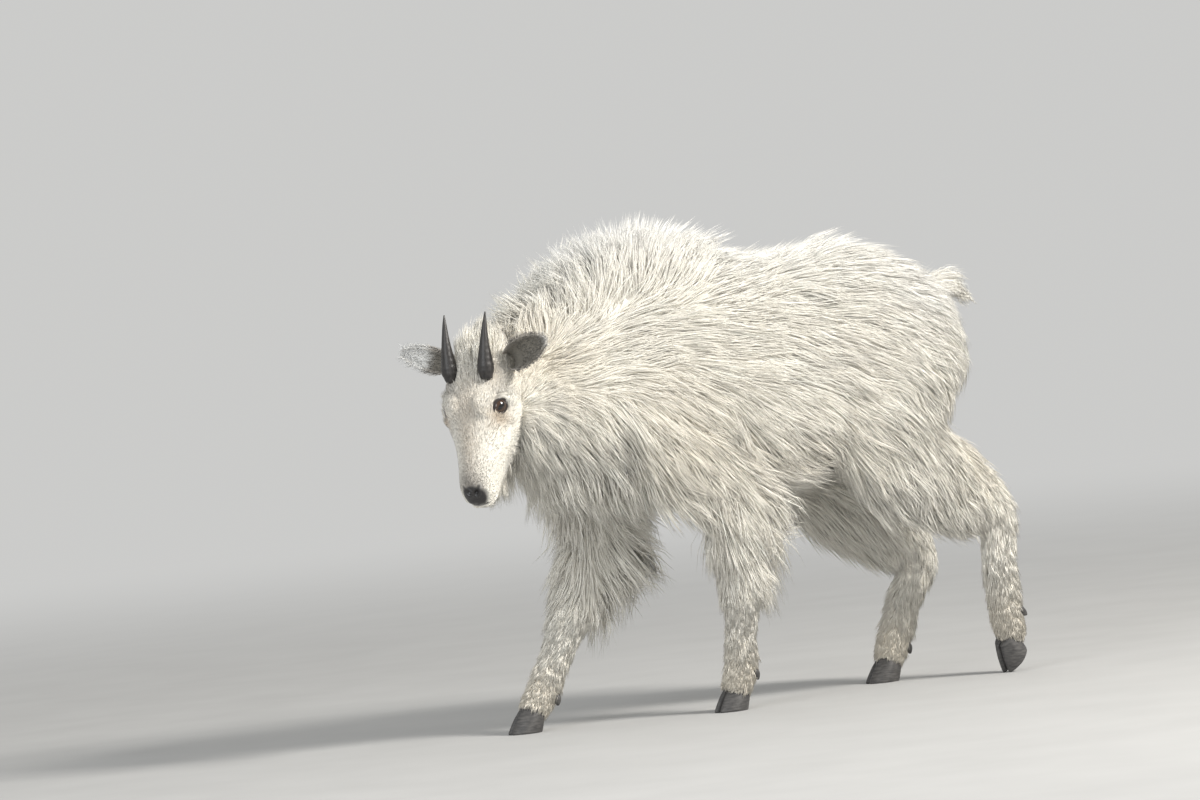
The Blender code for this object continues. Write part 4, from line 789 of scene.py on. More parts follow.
def body_skin():
    """The trunk, neck, legs and tail fused into one skin."""
    parts = [closed(trunk_rings())]
    front = np.array((-1.0, 0.0, 0.0))
    for limb, legs, girths in (("fore", FORELEG, FORELEG_GIRTH), ("hind", HINDLEG, HINDLEG_GIRTH)):
        for side, sign in SIDES.items():
            centres, sizes = leg_rows(legs[side], girths, limb, sign)
            parts.append(closed(tube_rings(centres, sizes, front, LEG_AROUND)))
    tail = [(along, 0.0, height, radius) for (along, height), radius in zip(TAIL, TAIL_RADII)]
    tail = finer(tail, ROWS_BETWEEN)
    radii = np.repeat(tail[:, 3:], 2, 1)
    parts.append(closed(tube_rings(tail[:, :3], radii, np.array((0.0, 0.0, 1.0)), LEG_AROUND)))
    return remeshed(piece("body_skin", *together(parts)), BODY_VOXEL, BODY_SMOOTH)


def ball_rings(centre, radii, axis, rows, around):
    """Rings of an egg: radius x sin(t) round the axis and height x cos(t) along it, from pole to pole."""
    turn = np.array(Vector(axis).to_track_quat("Z", "Y").to_matrix())
    t = np.linspace(0.0, math.pi, rows + 2)[1:-1, None]
    a = np.arange(around) * 2 * math.pi / around
    local = np.stack([np.sin(t) * np.cos(a), np.sin(t) * np.sin(a), np.cos(t) + 0 * a], -1)
    return (local * radii) @ turn.T + np.array(centre)


def skull_rings():
    """Ovals along the head, each through its forehead, throat and widest level."""
    along, top, bottom, half, widest = finer(HEAD, HEAD_ROWS_BETWEEN).T[:, :, None]
    top, bottom, half = top - HEAD_DEPTH, bottom + HEAD_DEPTH, half - HEAD_DEPTH
    across, up = superellipse(HEAD_AROUND, HEAD_SQUARENESS)
    height = widest + up * np.where(up > 0, top - widest, widest - bottom)
    along = along - HEAD_DEPTH * (along > MUZZLE_END)
    return np.stack([along + 0 * up, across * half, height], -1)


def muzzle_line(surface, shift, inward):
    """Points where rays from inside the muzzle leave it at the mouth's height plus shift, less inward."""
    points = []
    for step in np.linspace(-1, 1, LIP_POINTS):
        angle = step * MOUTH_ARC
        height = MOUTH_FRONT + (MOUTH_CORNER - MOUTH_FRONT) * abs(step) ** MOUTH_CURVE + shift
        way = Vector((math.cos(angle), math.sin(angle), 0))
        hit = surface.ray_cast(Vector((MOUTH_CENTRE, 0, height)), way)[0]
        points.append(hit - way * inward)
    return np.array(points)


def head_skin():
    """The head with its brows, lips and jaw fused into one skin, in the goat's frame."""
    points, faces = closed(skull_rings())
    surface = BVHTree.FromPolygons(points.tolist(), faces.tolist())
    parts = [(points, faces)]
    for sign in (1, -1):
        look = mirrored(EYE_LOOK, sign).normalized()
        centre = mirrored(EYE_PLACE, sign) - look * ORBIT_SUNK
        parts.append(closed(ball_rings(centre, ORBIT_SIZE, look, *ORBIT_GRID)))
    for shift in LIP_SHIFTS:
        line = muzzle_line(surface, shift, LIP_RADIUS * LIP_SUNK)
        radius = LIP_RADIUS * (1 - LIP_THINNING * np.abs(np.linspace(-1, 1, LIP_POINTS)))
        parts.append(closed(tube_rings(line, np.stack([radius, radius], -1), ASKEW, LIP_AROUND)))
    points, faces = together(parts)
    return remeshed(piece("head_skin", to_goat(points), faces), HEAD_VOXEL, HEAD_SMOOTH)


def eye_axes(sign):
    """The eye's centre, and its axes in the goat's frame: along its opening, across it and outward."""
    look = mirrored(EYE_LOOK, sign).normalized()
    up = (Vector((0, 0, 1)) - look * look.z).normalized()
    along = (Vector((1, 0, 0)) - look * look.x).normalized()
    up = (up - along * up.dot(along)).normalized()
    cosine, sine = math.cos(LID_TILT), math.sin(LID_TILT)
    along, up = along * cosine + up * sine, up * cosine - along * sine
    centre = to_goat(np.array(mirrored(EYE_PLACE, sign))[None])[0]
    return centre, np.array([along, up, look]) @ HEAD_AXES.T


def in_eye(points, sign):
    """Points in the eye's own axes, and how far out each is from the middle of the opening, 1 at its edge."""
    centre, axes = eye_axes(sign)
    local = (points - centre) @ axes.T
    long, high = LID_OPENING
    across = local[:, 0] / long
    narrow = 1 - LID_CORNER * np.clip(np.abs(across), 0, 1) ** 3
    return local, np.hypot(across, local[:, 1] / (high * narrow))


def smoothstep(t):
    """0 below 0, 1 above 1 and 3t^2 - 2t^3 between."""
    t = np.clip(t, 0, 1)
    return t * t * (3 - 2 * t)


def with_lids(points):
    """Draws the skin over each eye's ball: under it in the opening, LID_RISE above it round that."""
    for sign in (1, -1):
        centre, axes = eye_axes(sign)
        local, ring = in_eye(points, sign)
        wide = np.minimum(np.hypot(local[:, 0], local[:, 1]), EYE_RADIUS * LID_REACH)
        over = np.sqrt(EYE_RADIUS**2 - wide**2)
        lid = over + LID_RISE
        crease = np.exp(-(((ring - LID_CREASE[0]) / LID_CREASE[1]) ** 2)) * (local[:, 1] > 0)
        out = smoothstep((ring - LID_SPREAD[0]) / (LID_SPREAD[1] - LID_SPREAD[0]))
        under = over - LID_SUNK[0] * smoothstep((1 - ring) / LID_SUNK[1])
        wanted = np.where(ring < 1, under, lid * (1 - out) + local[:, 2] * out)
        wanted = wanted - LID_CREASE[2] * crease
        front = (local[:, 2] > LID_BEHIND) & (ring < LID_SPREAD[1])
        move = np.where(front, wanted - local[:, 2], 0.0)
        points = points + move[:, None] * axes[2]
    return points


def away_from(points, line):
    """The distance of each point from a line of points."""
    best = np.full(len(points), np.inf)
    for a, b in zip(line[:-1], line[1:]):
        way = b - a
        t = np.clip((points - a) @ way / (way @ way), 0, 1)
        best = np.minimum(best, np.linalg.norm(points - a - t[:, None] * way, axis=1))
    return best


def mouth_line():
    """The line of the closed mouth round the muzzle, in the head's frame."""
    surface = BVHTree.FromPolygons(*(a.tolist() for a in closed(skull_rings())))
    return muzzle_line(surface, 0.0, 0.0)


def with_nose(points, normals):
    """Sinks the mouth and nostrils by depth x exp(-(distance / width)^2) and raises the rims beside them."""
    local = to_head(points)
    near = local[:, 0] > NOSE_FROM
    if not near.any():
        return points
    sunk = np.zeros(len(points))
    gap = away_from(local[near], mouth_line())
    sunk[near] += MOUTH_DEPTH * np.exp(-((gap / MOUTH_WIDTH) ** 2))
    reach, wide, high = LIP_EDGE
    sunk[near] -= high * np.exp(-(((gap - reach) / wide) ** 2))
    reach, wide, high = NOSTRIL_RIM
    for sign in (1, -1):
        gap = away_from(local[near], nostril_line(sign))
        sunk[near] += NOSTRIL_DEPTH * np.exp(-((gap / NOSTRIL_WIDTH) ** 2))
        sunk[near] -= high * np.exp(-(((gap - reach) / wide) ** 2))
    return points - normals * sunk[:, None]


def nostril_line(sign):
    """The line of one nostril's slit, in the head's frame."""
    return np.array([mirrored(p, sign) for p in NOSTRIL])


def in_pad(points):
    """How far each point of the head's frame is from the nose pad's middle, 1 at its edge."""
    centre, reach = NOSE_PAD
    return np.linalg.norm((points - centre) / reach, axis=1)


def marked(points):
    """The coat's colour at points of the goat's frame.

    It is cream, drawn to each spot's colour by strength x exp(-distance^2), with distance in its reach.
    """
    colour = np.tile(np.array(CREAM), (len(points), 1))
    head = to_head(points)
    for table, place in ((BODY_MARKS, points), (HEAD_MARKS, head)):
        either = np.abs(place[:, 1])
        here = np.stack([place[:, 0], either, place[:, 2]], -1)
        for centre, reach, tint, strength in table:
            share = strength * np.exp(-np.sum(((here - centre) / reach) ** 2, 1))
            colour += (np.array(tint) - colour) * share[:, None]
    return colour


def build_skin():
    """The one skin under the coat, with its lids, nostrils and mouth, for all the nodes of flesh."""
    skin = body_skin()
    head = head_skin()
    join = skin.modifiers.new("join", "BOOLEAN")
    join.operation = "UNION"
    join.solver = "MANIFOLD"
    join.object = head
    applied(skin)
    bpy.data.objects.remove(head)
    skin.name = "skin"
    points, normals = points_of(skin)
    points = with_lids(with_nose(points, normals))
    skin.data.vertices.foreach_set("co", (points + SHIFT).astype(np.float32).ravel())
    skin.data.update()
    local = to_head(points)
    colour = marked(points)
    pad = in_pad(local)
    dark = 1 - smoothstep((pad - NOSE_EDGE[0]) / NOSE_EDGE[1])
    muzzle = np.flatnonzero(local[:, 0] > MUZZLE_FROM)
    lines = [(mouth_line(), MOUTH_DARK)] + [(nostril_line(sign), NOSTRIL_DARK) for sign in (1, -1)]
    for line, (start, fade) in lines:
        share = 1 - smoothstep((away_from(local[muzzle], line) - start) / fade)
        dark[muzzle] = np.maximum(dark[muzzle], share)
    for sign in (1, -1):
        _, ring = in_eye(points, sign)
        near = np.linalg.norm(local - np.array(mirrored(EYE_PLACE, sign)), axis=1) < EYE_NEAR
        dark = np.maximum(dark, (1 - smoothstep((ring - LID_DARK[0]) / LID_DARK[1])) * near)
    colour += (np.array(BLACK) - colour) * dark[:, None]
    painted(skin, "tint", colour)
    mesh = skin.data
    faces = triangles_of(skin)
    black = np.empty(len(mesh.polygons), np.int32)
    counts = np.empty(len(mesh.polygons), np.int32)
    starts = np.empty(len(mesh.polygons), np.int32)
    corners = np.empty(len(mesh.loops), np.int32)
    mesh.polygons.foreach_get("loop_total", counts)
    mesh.polygons.foreach_get("loop_start", starts)
    mesh.loops.foreach_get("vertex_index", corners)
    black[:] = dark[corners[starts]] > 0.5
    mesh.materials.clear()
    dressed(skin, "coat", skin_look(), nose_look())
    mesh.polygons.foreach_set("material_index", black)
    mesh.polygons.foreach_set("use_smooth", np.full(len(mesh.polygons), True))
    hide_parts(*FLESH)
    return skin, faces


def shader_of(name, **numbers):
    """A new material and its Principled shader, with the given sockets set."""
    material = bpy.data.materials.new(name)
    material.use_nodes = True
    shader = material.node_tree.nodes["Principled BSDF"]
    for socket, value in numbers.items():
        shader.inputs[socket.replace("_", " ")].default_value = value
    return material, shader


def add(material, kind, **settings):
    """A new node of the material, with its inputs, or failing that its properties, set."""
    node = material.node_tree.nodes.new(kind)
    for name, value in settings.items():
        label = name.replace("_", " ")
        if label in node.inputs:
            node.inputs[label].default_value = value
        else:
            setattr(node, name, value)
    return node


def link(material, source, target):
    """Joins two sockets."""
    material.node_tree.links.new(source, target)


def own_coordinates(material, scale=(1.0, 1.0, 1.0)):
    """The piece's own coordinates, stretched by scale."""
    place = add(material, "ShaderNodeTexCoord")
    mapping = add(material, "ShaderNodeMapping", Scale=scale)
    link(material, place.outputs["Object"], mapping.inputs["Vector"])
    return mapping.outputs["Vector"]


def bumped(material, shader, height, strength, distance):
    """Raises the surface by a height from a texture."""
    bump = add(material, "ShaderNodeBump", Strength=strength, Distance=distance)
    link(material, height, bump.inputs["Height"])
    link(material, bump.outputs["Normal"], shader.inputs["Normal"])


def tinted(material, shader, attribute, noise_scale, low, high):
    """Takes the piece's stored colour times a slow noise between low and high."""
    stored = add(material, "ShaderNodeAttribute", attribute_name=attribute)
    noise = add(material, "ShaderNodeTexNoise", Scale=noise_scale, Detail=4.0, Roughness=0.6)
    link(material, own_coordinates(material), noise.inputs["Vector"])
    span = add(material, "ShaderNodeMapRange", To_Min=low, To_Max=high, From_Min=0.3, From_Max=0.7)
    link(material, noise.outputs["Fac"], span.inputs["Value"])
    times = add(material, "ShaderNodeVectorMath", operation="SCALE")
    link(material, stored.outputs["Color"], times.inputs[0])
    link(material, span.outputs["Result"], times.inputs["Scale"])
    link(material, times.outputs["Vector"], shader.inputs["Base Color"])
    return noise


def fur_look():
    """Soft hair: the stored tint with a slow unevenness, and a low sheen."""
    material, shader = shader_of(
        "fur", Roughness=0.58, Specular_IOR_Level=0.30, Sheen_Weight=0.25, Sheen_Roughness=0.45
    )
    tinted(material, shader, "tint", 26.0, 0.95, 1.05)
    return material


def skin_look():
    """The underfur: the stored tint, a little darker in fine cracks that a stretched noise makes."""
    material, shader = shader_of("underfur", Roughness=0.86, Specular_IOR_Level=0.15, Sheen_Weight=0.2)
    tinted(material, shader, "tint", 60.0, 0.90, 1.0)
    fine = add(material, "ShaderNodeTexNoise", Scale=1.0, Detail=5.0, Roughness=0.65)
    link(material, own_coordinates(material, (260.0, 700.0, 260.0)), fine.inputs["Vector"])
    bumped(material, shader, fine.outputs["Fac"], 0.35, 0.0007)
    return material


def nose_look():
    """Bare black skin with a fine pebbled grain, moist."""
    material, shader = shader_of(
        "nose_skin", Roughness=0.34, Specular_IOR_Level=0.5, Coat_Weight=0.35, Coat_Roughness=0.22
    )
    tinted(material, shader, "tint", 300.0, 0.8, 1.25)
    grain = add(material, "ShaderNodeTexVoronoi", Scale=900.0, feature="F1")
    link(material, own_coordinates(material), grain.inputs["Vector"])
    bumped(material, shader, grain.outputs["Distance"], 0.55, 0.0006)
    return material


def ramp(material, stops):
    """A colour ramp through (place, colour) stops."""
    node = add(material, "ShaderNodeValToRGB")
    while len(node.color_ramp.elements) < len(stops):
        node.color_ramp.elements.new(0.5)
    for element, (place, colour) in zip(node.color_ramp.elements, stops):
        element.position = place
        element.color = (*colour, 1.0)
    return node


def eye_look():
    """A dark brown iris round a level black pupil, under a clear wet coat, by distance on the eye's map."""
    wet = {"Coat_Weight": 1.0, "Coat_Roughness": 0.02, "Coat_IOR": 1.38}
    material, shader = shader_of("eye_ball", Roughness=0.12, Specular_IOR_Level=0.5, **wet)
    place = add(material, "ShaderNodeUVMap", uv_map="front")
    mapping = add(material, "ShaderNodeMapping", Scale=(1.0, 2.3, 1.0))
    link(material, place.outputs["UV"], mapping.inputs["Vector"])
    pupil = add(material, "ShaderNodeVectorMath", operation="LENGTH")
    link(material, mapping.outputs["Vector"], pupil.inputs[0])
    whole = add(material, "ShaderNodeVectorMath", operation="LENGTH")
    link(material, place.outputs["UV"], whole.inputs[0])
    iris = ramp(material, IRIS)
    link(material, whole.outputs["Value"], iris.inputs["Fac"])
    streak = add(material, "ShaderNodeTexNoise", Scale=14.0, Detail=6.0, Roughness=0.7)
    link(material, place.outputs["UV"], streak.inputs["Vector"])
    light = add(material, "ShaderNodeMapRange", To_Min=0.7, To_Max=1.4)
    link(material, streak.outputs["Fac"], light.inputs["Value"])
    times = add(material, "ShaderNodeVectorMath", operation="SCALE")
    link(material, iris.outputs["Color"], times.inputs[0])
    link(material, light.outputs["Result"], times.inputs["Scale"])
    hole = add(material, "ShaderNodeMapRange", From_Min=0.48, From_Max=0.56)
    link(material, pupil.outputs["Value"], hole.inputs["Value"])
    shade = add(material, "ShaderNodeVectorMath", operation="SCALE")
    link(material, times.outputs["Vector"], shade.inputs[0])
    link(material, hole.outputs["Result"], shade.inputs["Scale"])
    link(material, shade.outputs["Vector"], shader.inputs["Base Color"])
    return material


def lid_look():
    """The bare dark rim of the lids, with a fine wrinkled grain."""
    material, shader = shader_of("lid_rim", Roughness=0.38, Specular_IOR_Level=0.5, Coat_Weight=0.25)
    noise = add(material, "ShaderNodeTexNoise", Scale=900.0, Detail=3.0)
    link(material, own_coordinates(material), noise.inputs["Vector"])
    colour = ramp(material, [(0.3, LID_BROWN), (0.7, LID_BLACK)])
    link(material, noise.outputs["Fac"], colour.inputs["Fac"])
    link(material, colour.outputs["Color"], shader.inputs["Base Color"])
    bumped(material, shader, noise.outputs["Fac"], 0.4, 0.0003)
    return material


def keratin_look(name, pale, dark, scale, rough):
    """Horn: streaks drawn out along the growth, between a pale and a dark tone, and raised as well."""
    material, shader = shader_of(name, Specular_IOR_Level=0.5, Coat_Weight=0.12, Coat_Roughness=0.3)
    noise = add(material, "ShaderNodeTexNoise", Scale=1.0, Detail=7.0, Roughness=0.62)
    link(material, own_coordinates(material, scale), noise.inputs["Vector"])
    colour = ramp(material, [(0.30, dark), (0.72, pale)])
    link(material, noise.outputs["Fac"], colour.inputs["Fac"])
    link(material, colour.outputs["Color"], shader.inputs["Base Color"])
    dull = add(material, "ShaderNodeMapRange", To_Min=rough[0], To_Max=rough[1])
    link(material, noise.outputs["Fac"], dull.inputs["Value"])
    link(material, dull.outputs["Result"], shader.inputs["Roughness"])
    bumped(material, shader, noise.outputs["Fac"], 0.45, 0.0006)
    return material


def build_eyes():
    """Each eye's ball, with a map of its front, and the dark rim of its lids on it."""
    look_ball, look_rim = eye_look(), lid_look()
    for sign in (1, -1):
        side = side_name(sign)
        centre, axes = eye_axes(sign)
        points, faces = closed(ball_rings(centre, (EYE_RADIUS,) * 3, axes[2], *EYE_GRID))
        ball = piece(f"eyeball_{side}", points, faces)
        front = ((points - centre) @ axes.T)[:, :2] / EYE_RADIUS
        corners = np.empty(len(faces) * 3, np.int32)
        ball.data.loops.foreach_get("vertex_index", corners)
        layer = ball.data.uv_layers.new(name="front")
        layer.uv.foreach_set("vector", front[corners].astype(np.float32).ravel())
        dressed(ball, "eye", look_ball)
        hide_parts(f"eye_{side}")
        points, faces = lid_band(centre, axes)
        dressed(piece(f"lids_{side}", points, outward(points - centre, faces)), "eye", look_rim)


def lid_band(centre, axes):
    """The rim of the lids: an oval of LID_BAND, heavier above, carried round the edge of the opening.

    The edge is (long x cos, high x sin), narrower to its corners, and lies a little above the ball.
    """
    count, sides = LID_POINTS
    turn = np.arange(count) * 2 * math.pi / count
    across = np.cos(turn) * LID_OPENING[0]
    rise = np.sin(turn) * LID_OPENING[1] * (1 - LID_CORNER * np.abs(np.cos(turn)) ** 3)
    out = np.sqrt(EYE_RADIUS**2 - across**2 - rise**2) + LID_RISE * LID_BAND_RISE
    line = np.stack([across, rise, out], -1)
    away = unit(line * (1, 1, 0.0))
    lift = unit(line)
    about = np.arange(sides) * 2 * math.pi / sides
    wide, high = LID_BAND
    heavy = np.where(rise > 0, LID_UPPER, 1.0)[:, None, None]
    ring = away[:, None] * (np.cos(about) * wide)[None, :, None] * heavy
    ring = ring + lift[:, None] * (np.sin(about) * high)[None, :, None] * heavy
    rings = (line[:, None] + ring) @ axes + centre
    i = (np.arange(count) * sides)[:, None]
    n = ((np.arange(count) + 1) % count * sides)[:, None]
    j = np.arange(sides)[None]
    return rings.reshape(-1, 3), halved(cells(i, n, j, (j + 1) % sides))


def build_horns():
    """Each horn: a tube of HORN_RADII along its bent axis, ridged by a sine that fades to the tip."""
    look = keratin_look("horn_sheath", *HORN_TONES, scale=(420.0, 420.0, 60.0), rough=(0.34, 0.55))
    for sign in (1, -1):
        side = side_name(sign)
        base, tip = np.array(mirrored(HORN_BASE, sign)), np.array(mirrored(HORN_TIP, sign))
        length = np.linalg.norm(tip - base)
        axis = (tip - base) / length
        coarse = np.linspace(0, 1, len(HORN_RADII))
        rows = finer(np.stack([coarse, HORN_RADII], -1), HORN_ROWS)
        step, radius = rows[:, :1], rows[:, 1:]
        ridge = HORN_RIDGE * np.sin(2 * math.pi * HORN_RIDGES * step) * (1 - step) ** HORN_RIDGE_FADE
        radius = radius * (1 + ridge)
        bend = np.array((0.0, 0.0, 1.0)) * HORN_BEND * 4 * step * (1 - step)
        points = base - axis * HORN_SUNK * (1 - step) + axis * length * step + bend
        points, faces = closed(tube_rings(points, np.repeat(radius, 2, 1), ASKEW, HORN_AROUND))
        horn = piece(f"horn_sheath_{side}", to_goat(points), faces)
        dressed(horn, "horn", look)
        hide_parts(f"horn_{side}")


def ear_sheet(sign):
    """The ear's middle sheet, its inward normals and how far along and across each point is.

    Each row is an arc of angle 2 x cup: centre + side x radius x sin + facing x radius x (1 - cos).
    """
    base, tip = np.array(mirrored(EAR_BASE, sign)), np.array(mirrored(EAR_TIP, sign))
    axis = unit(tip - base)
    base = base - axis * EAR_SUNK
    length = np.linalg.norm(tip - base)
    facing = np.array(mirrored(EAR_FACING, sign))
    facing = unit(facing - axis * (facing @ axis))
    side = np.cross(axis, facing)
    times = (EAR_ROWS - 1) // (len(EAR_WIDTHS) - 1) + 1
    rows = finer(np.stack([np.linspace(0, 1, len(EAR_WIDTHS)), EAR_WIDTHS, EAR_CUP], -1), times)
    step, width, cup = rows.T[:, :, None]
    across = np.linspace(-1, 1, EAR_COLUMNS)[None]
    angle = cup * across
    radius = width / np.maximum(np.sin(np.minimum(cup, math.pi / 2)), 0.5) * EAR_SIZE[side_name(sign)]
    centre = base + axis * length * step ** EAR_BUNCHING
    sheet = centre[:, None] + side * (radius * np.sin(angle))[..., None]
    sheet = sheet + facing * (radius * (1 - np.cos(angle)))[..., None]
    inward = facing * np.cos(angle)[..., None] - side * np.sin(angle)[..., None]
    return to_goat(sheet), inward @ HEAD_AXES.T, step + 0 * across, across + 0 * step


def build_ears():
    """Each ear: its sheet given a wall, dark inside the cup, pale behind and at the rim."""
    look_ear = ear_look()
    for sign in (1, -1):
        side = side_name(sign)
        sheet, inward, step, across = ear_sheet(sign)
        rows, columns = sheet.shape[:2]
        to_rim, to_tip = EAR_THINNER
        thin = EAR_THICKNESS * (1 - to_rim * np.abs(across) ** 4) * (1 - to_tip * step)
        inner = sheet + inward * thin[..., None] / 2
        outer = sheet - inward * thin[..., None] / 2
        points = np.concatenate([inner.reshape(-1, 3), outer.reshape(-1, 3)])
        i = (np.arange(rows - 1) * columns)[:, None]
        j = np.arange(columns - 1)[None]
        quads = cells(i, i + columns, j, j + 1)
        edge = np.concatenate([
            np.arange(columns - 1),
            np.arange(rows - 1) * columns + columns - 1,
            (rows - 1) * columns + np.arange(columns - 1, 0, -1),
            np.arange(rows - 1, 0, -1) * columns,
        ])
        after = np.roll(edge, -1)
        far = rows * columns
        rim = np.stack([after, edge, edge + far, after + far], -1)
        faces = halved(np.concatenate([quads, quads[:, ::-1] + far, rim]))
        ear = piece(f"ear_leaf_{side}", points, outward(points - points.mean(0), faces))
        inside = ear_tint(side, step, across, 1.0 + 0 * step)
        behind = ear_tint(side, step, across, 0 * step)
        painted(ear, "tint", np.concatenate([inside.reshape(-1, 3), behind.reshape(-1, 3)]))
        dressed(ear, "ear", look_ear)
        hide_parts(f"ear_{side}")


def ear_tint(side, step, across, inside):
    """One tone in the cup and one behind, paler to the rim by a smooth step, and white to the tip."""
    rim = smoothstep((np.abs(across) - EAR_RIM[0]) / EAR_RIM[1])[..., None]
    white = smoothstep((step - EAR_WHITE_FROM[side]) / EAR_WHITE_FADE)[..., None] * EAR_WHITE_SHARE[side]
    cup = np.array(EAR_DARK) + (np.array(EAR_PALE) - EAR_DARK) * rim
    back = np.array(EAR_BACK) + (np.array(EAR_PALE) - EAR_BACK) * rim
    colour = back + (cup - back) * inside[..., None]
    return colour + (np.array(WHITE) - colour) * white


def ear_hairs(sign):
    """Short hair on both faces of the ear and longer hair round its rim, with each hair's colour."""
    sheet, inward, _, _ = ear_sheet(sign)
    rows, columns = sheet.shape[:2]
    count = EAR_HAIRS
    fringe = rng.random(count) < EAR_FRINGE
    step = rng.uniform(EAR_HAIR_FROM, 1.0, count)
    edge = np.sign(rng.uniform(-1, 1, count)) * rng.uniform(*EAR_EDGE, count)
    across = np.where(fringe, edge, rng.uniform(-1, 1, count))
    i = np.minimum((step * (rows - 1)).astype(int), rows - 2)
    j = np.minimum(((across + 1) / 2 * (columns - 1)).astype(int), columns - 2)
    p = (step * (rows - 1) - i)[:, None]
    q = ((across + 1) / 2 * (columns - 1) - j)[:, None]

    def at(grid):
        """The grid's value between its four nearest points."""
        low = grid[i, j] * (1 - p) + grid[i + 1, j] * p
        high = grid[i, j + 1] * (1 - p) + grid[i + 1, j + 1] * p
        return low * (1 - q) + high * q

    face = np.sign(rng.uniform(-1, 1, count))
    out = unit(at(inward)) * face[:, None]
    fan = across * np.where(fringe, *EAR_HAIR_FAN)
    way = unit(at(np.gradient(sheet, axis=0))) + unit(at(np.gradient(sheet, axis=1))) * fan[:, None]
    way = unit(way + rng.normal(0, EAR_HAIR_TURN, (count, 3)))
    length = np.where(fringe, EAR_HAIR[1], EAR_HAIR[0]) * rng.uniform(*EAR_HAIR_VARIETY, count)
    line = [at(sheet) + out * EAR_THICKNESS * 0.3]
    for rise in EAR_HAIR_RISES:
        line.append(line[-1] + (way * math.cos(rise) + out * math.sin(rise)) * length[:, None] / 2)
    colours = ear_tint(side_name(sign), step, across, (face + 1) / 2)
    hairs = {
        "root": line[0],
        "line": np.stack(line, 1),
        "out": np.stack([out] * 3, 1),
        "tint": 1 + rng.normal(0, EAR_TINT_VARIETY, count),
    }
    return hairs, colours


def ear_look():
    """Short-haired ear skin: its stored tint and a fine streaked grain."""
    material, shader = shader_of("ear_skin", Roughness=0.8, Specular_IOR_Level=0.2, Sheen_Weight=0.2)
    noise = tinted(material, shader, "tint", 420.0, 0.8, 1.15)
    bumped(material, shader, noise.outputs["Fac"], 0.5, 0.0008)
    return material


def hoof_points(limb, inner, foot, sign):
    """One toe's hoof: ovals up from the sole, flat within and narrower ahead, ringed by growth lines."""
    rows = finer(HOOF_RINGS, HOOF_ROWS)
    height, back, size = rows.T[:, :, None]
    size = size * (1 + HOOF_LINE * np.sin(2 * math.pi * height / HOOF_LINES) * (height > HOOF_LINES_FROM))
    turn = np.arange(HOOF_AROUND) * 2 * math.pi / HOOF_AROUND
    ahead = np.cos(turn) * HOOF_LENGTH / 2 * size - back
    narrow = 1 - HOOF_TAPER * np.maximum(np.cos(turn), 0.0) ** 2
    wide = np.maximum(np.sin(turn) * HOOF_ROUND[0] + HOOF_ROUND[1], 0.0) * HOOF_WIDTH * narrow
    wide = wide * size + (1 - size) * HOOF_WIDTH * HOOF_FLARE
    points, faces = closed(np.stack([ahead, wide, height + 0 * ahead], -1))
    out = -1 if inner else 1
    tip = Matrix.Translation((HOOF_LENGTH * 0.5, 0, 0))
    pitch = tip @ Matrix.Rotation(math.radians(HOOF_TIP[limb]), 4, "Y") @ tip.inverted()
    face = Matrix.Rotation(math.pi, 4, "Z") @ Matrix.Rotation(math.radians(HOOF_TURN[limb]) * -sign, 4, "Z")
    apart = Matrix.Translation((0, TOE_SPREAD / 2, 0)) @ Matrix.Rotation(TOE_SPLAY, 4, "Z")
    own_side = Matrix.Diagonal((1, -out * sign, 1, 1))
    place = np.array(Matrix.Translation(foot) @ face @ pitch @ own_side @ apart)
    points = points @ place[:3, :3].T + place[:3, 3]
    points[:, 2] = np.maximum(points[:, 2], -float(SHIFT[2]))
    return points, outward(points - points.mean(0), faces)


def dewclaw_points(inner, joints, sign):
    """A short blunt claw behind the fetlock: a tube of DEWCLAW_RADII down and back from it."""
    out = -1 if inner else 1
    fetlock = Vector(joints["fetlock"]) * Vector((1, sign, 1))
    below = Vector(joints["foot"]) * Vector((1, sign, 1))
    down = (below - fetlock).normalized()
    back = (Vector((1, 0, 0)) - down * down.x).normalized()
    side = Vector((0, 1, 0)) * out * sign
    start = fetlock + back * DEWCLAW_BACK + side * DEWCLAW_SPREAD
    way = sum((d * w for d, w in zip((down, back, side), DEWCLAW_WAY)), Vector()).normalized()
    steps = np.linspace(0, 1, len(DEWCLAW_RADII))[:, None]
    centres = np.array(start) + np.array(way) * DEWCLAW_LENGTH * steps
    rows = finer(np.hstack([centres, np.array(DEWCLAW_RADII)[:, None]]), ROWS_BETWEEN)
    return closed(tube_rings(rows[:, :3], np.repeat(rows[:, 3:], 2, 1), ASKEW, DEWCLAW_AROUND))


def build_feet():
    """The two hooves and two dewclaws of each foot."""
    look = keratin_look("hoof_horn", *HOOF_TONES, scale=(90.0, 90.0, 420.0), rough=(0.42, 0.68))
    for limb, legs in (("fore", FORELEG), ("hind", HINDLEG)):
        for side, sign in SIDES.items():
            joints = legs[side]
            whole = f"{limb}_{side}"
            foot = Vector(joints["foot"]) * Vector((1, sign, 1))
            foot = Vector((foot.x - HOOF_AHEAD[whole], foot.y, -TOE_SINK if HOOF_TIP[whole] else 0.0))
            for place, inner in (("inner", True), ("outer", False)):
                hoof = piece(f"toe_{whole}_{place}", *hoof_points(whole, inner, foot, sign))
                dressed(hoof, "hoof", look)
                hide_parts(f"hoof_{whole}_{place}")
                claw = piece(f"spur_{whole}_{place}", *dewclaw_points(inner, joints, sign))
                dressed(claw, "hoof", look)
                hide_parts(f"dewclaw_{whole}_{place}")


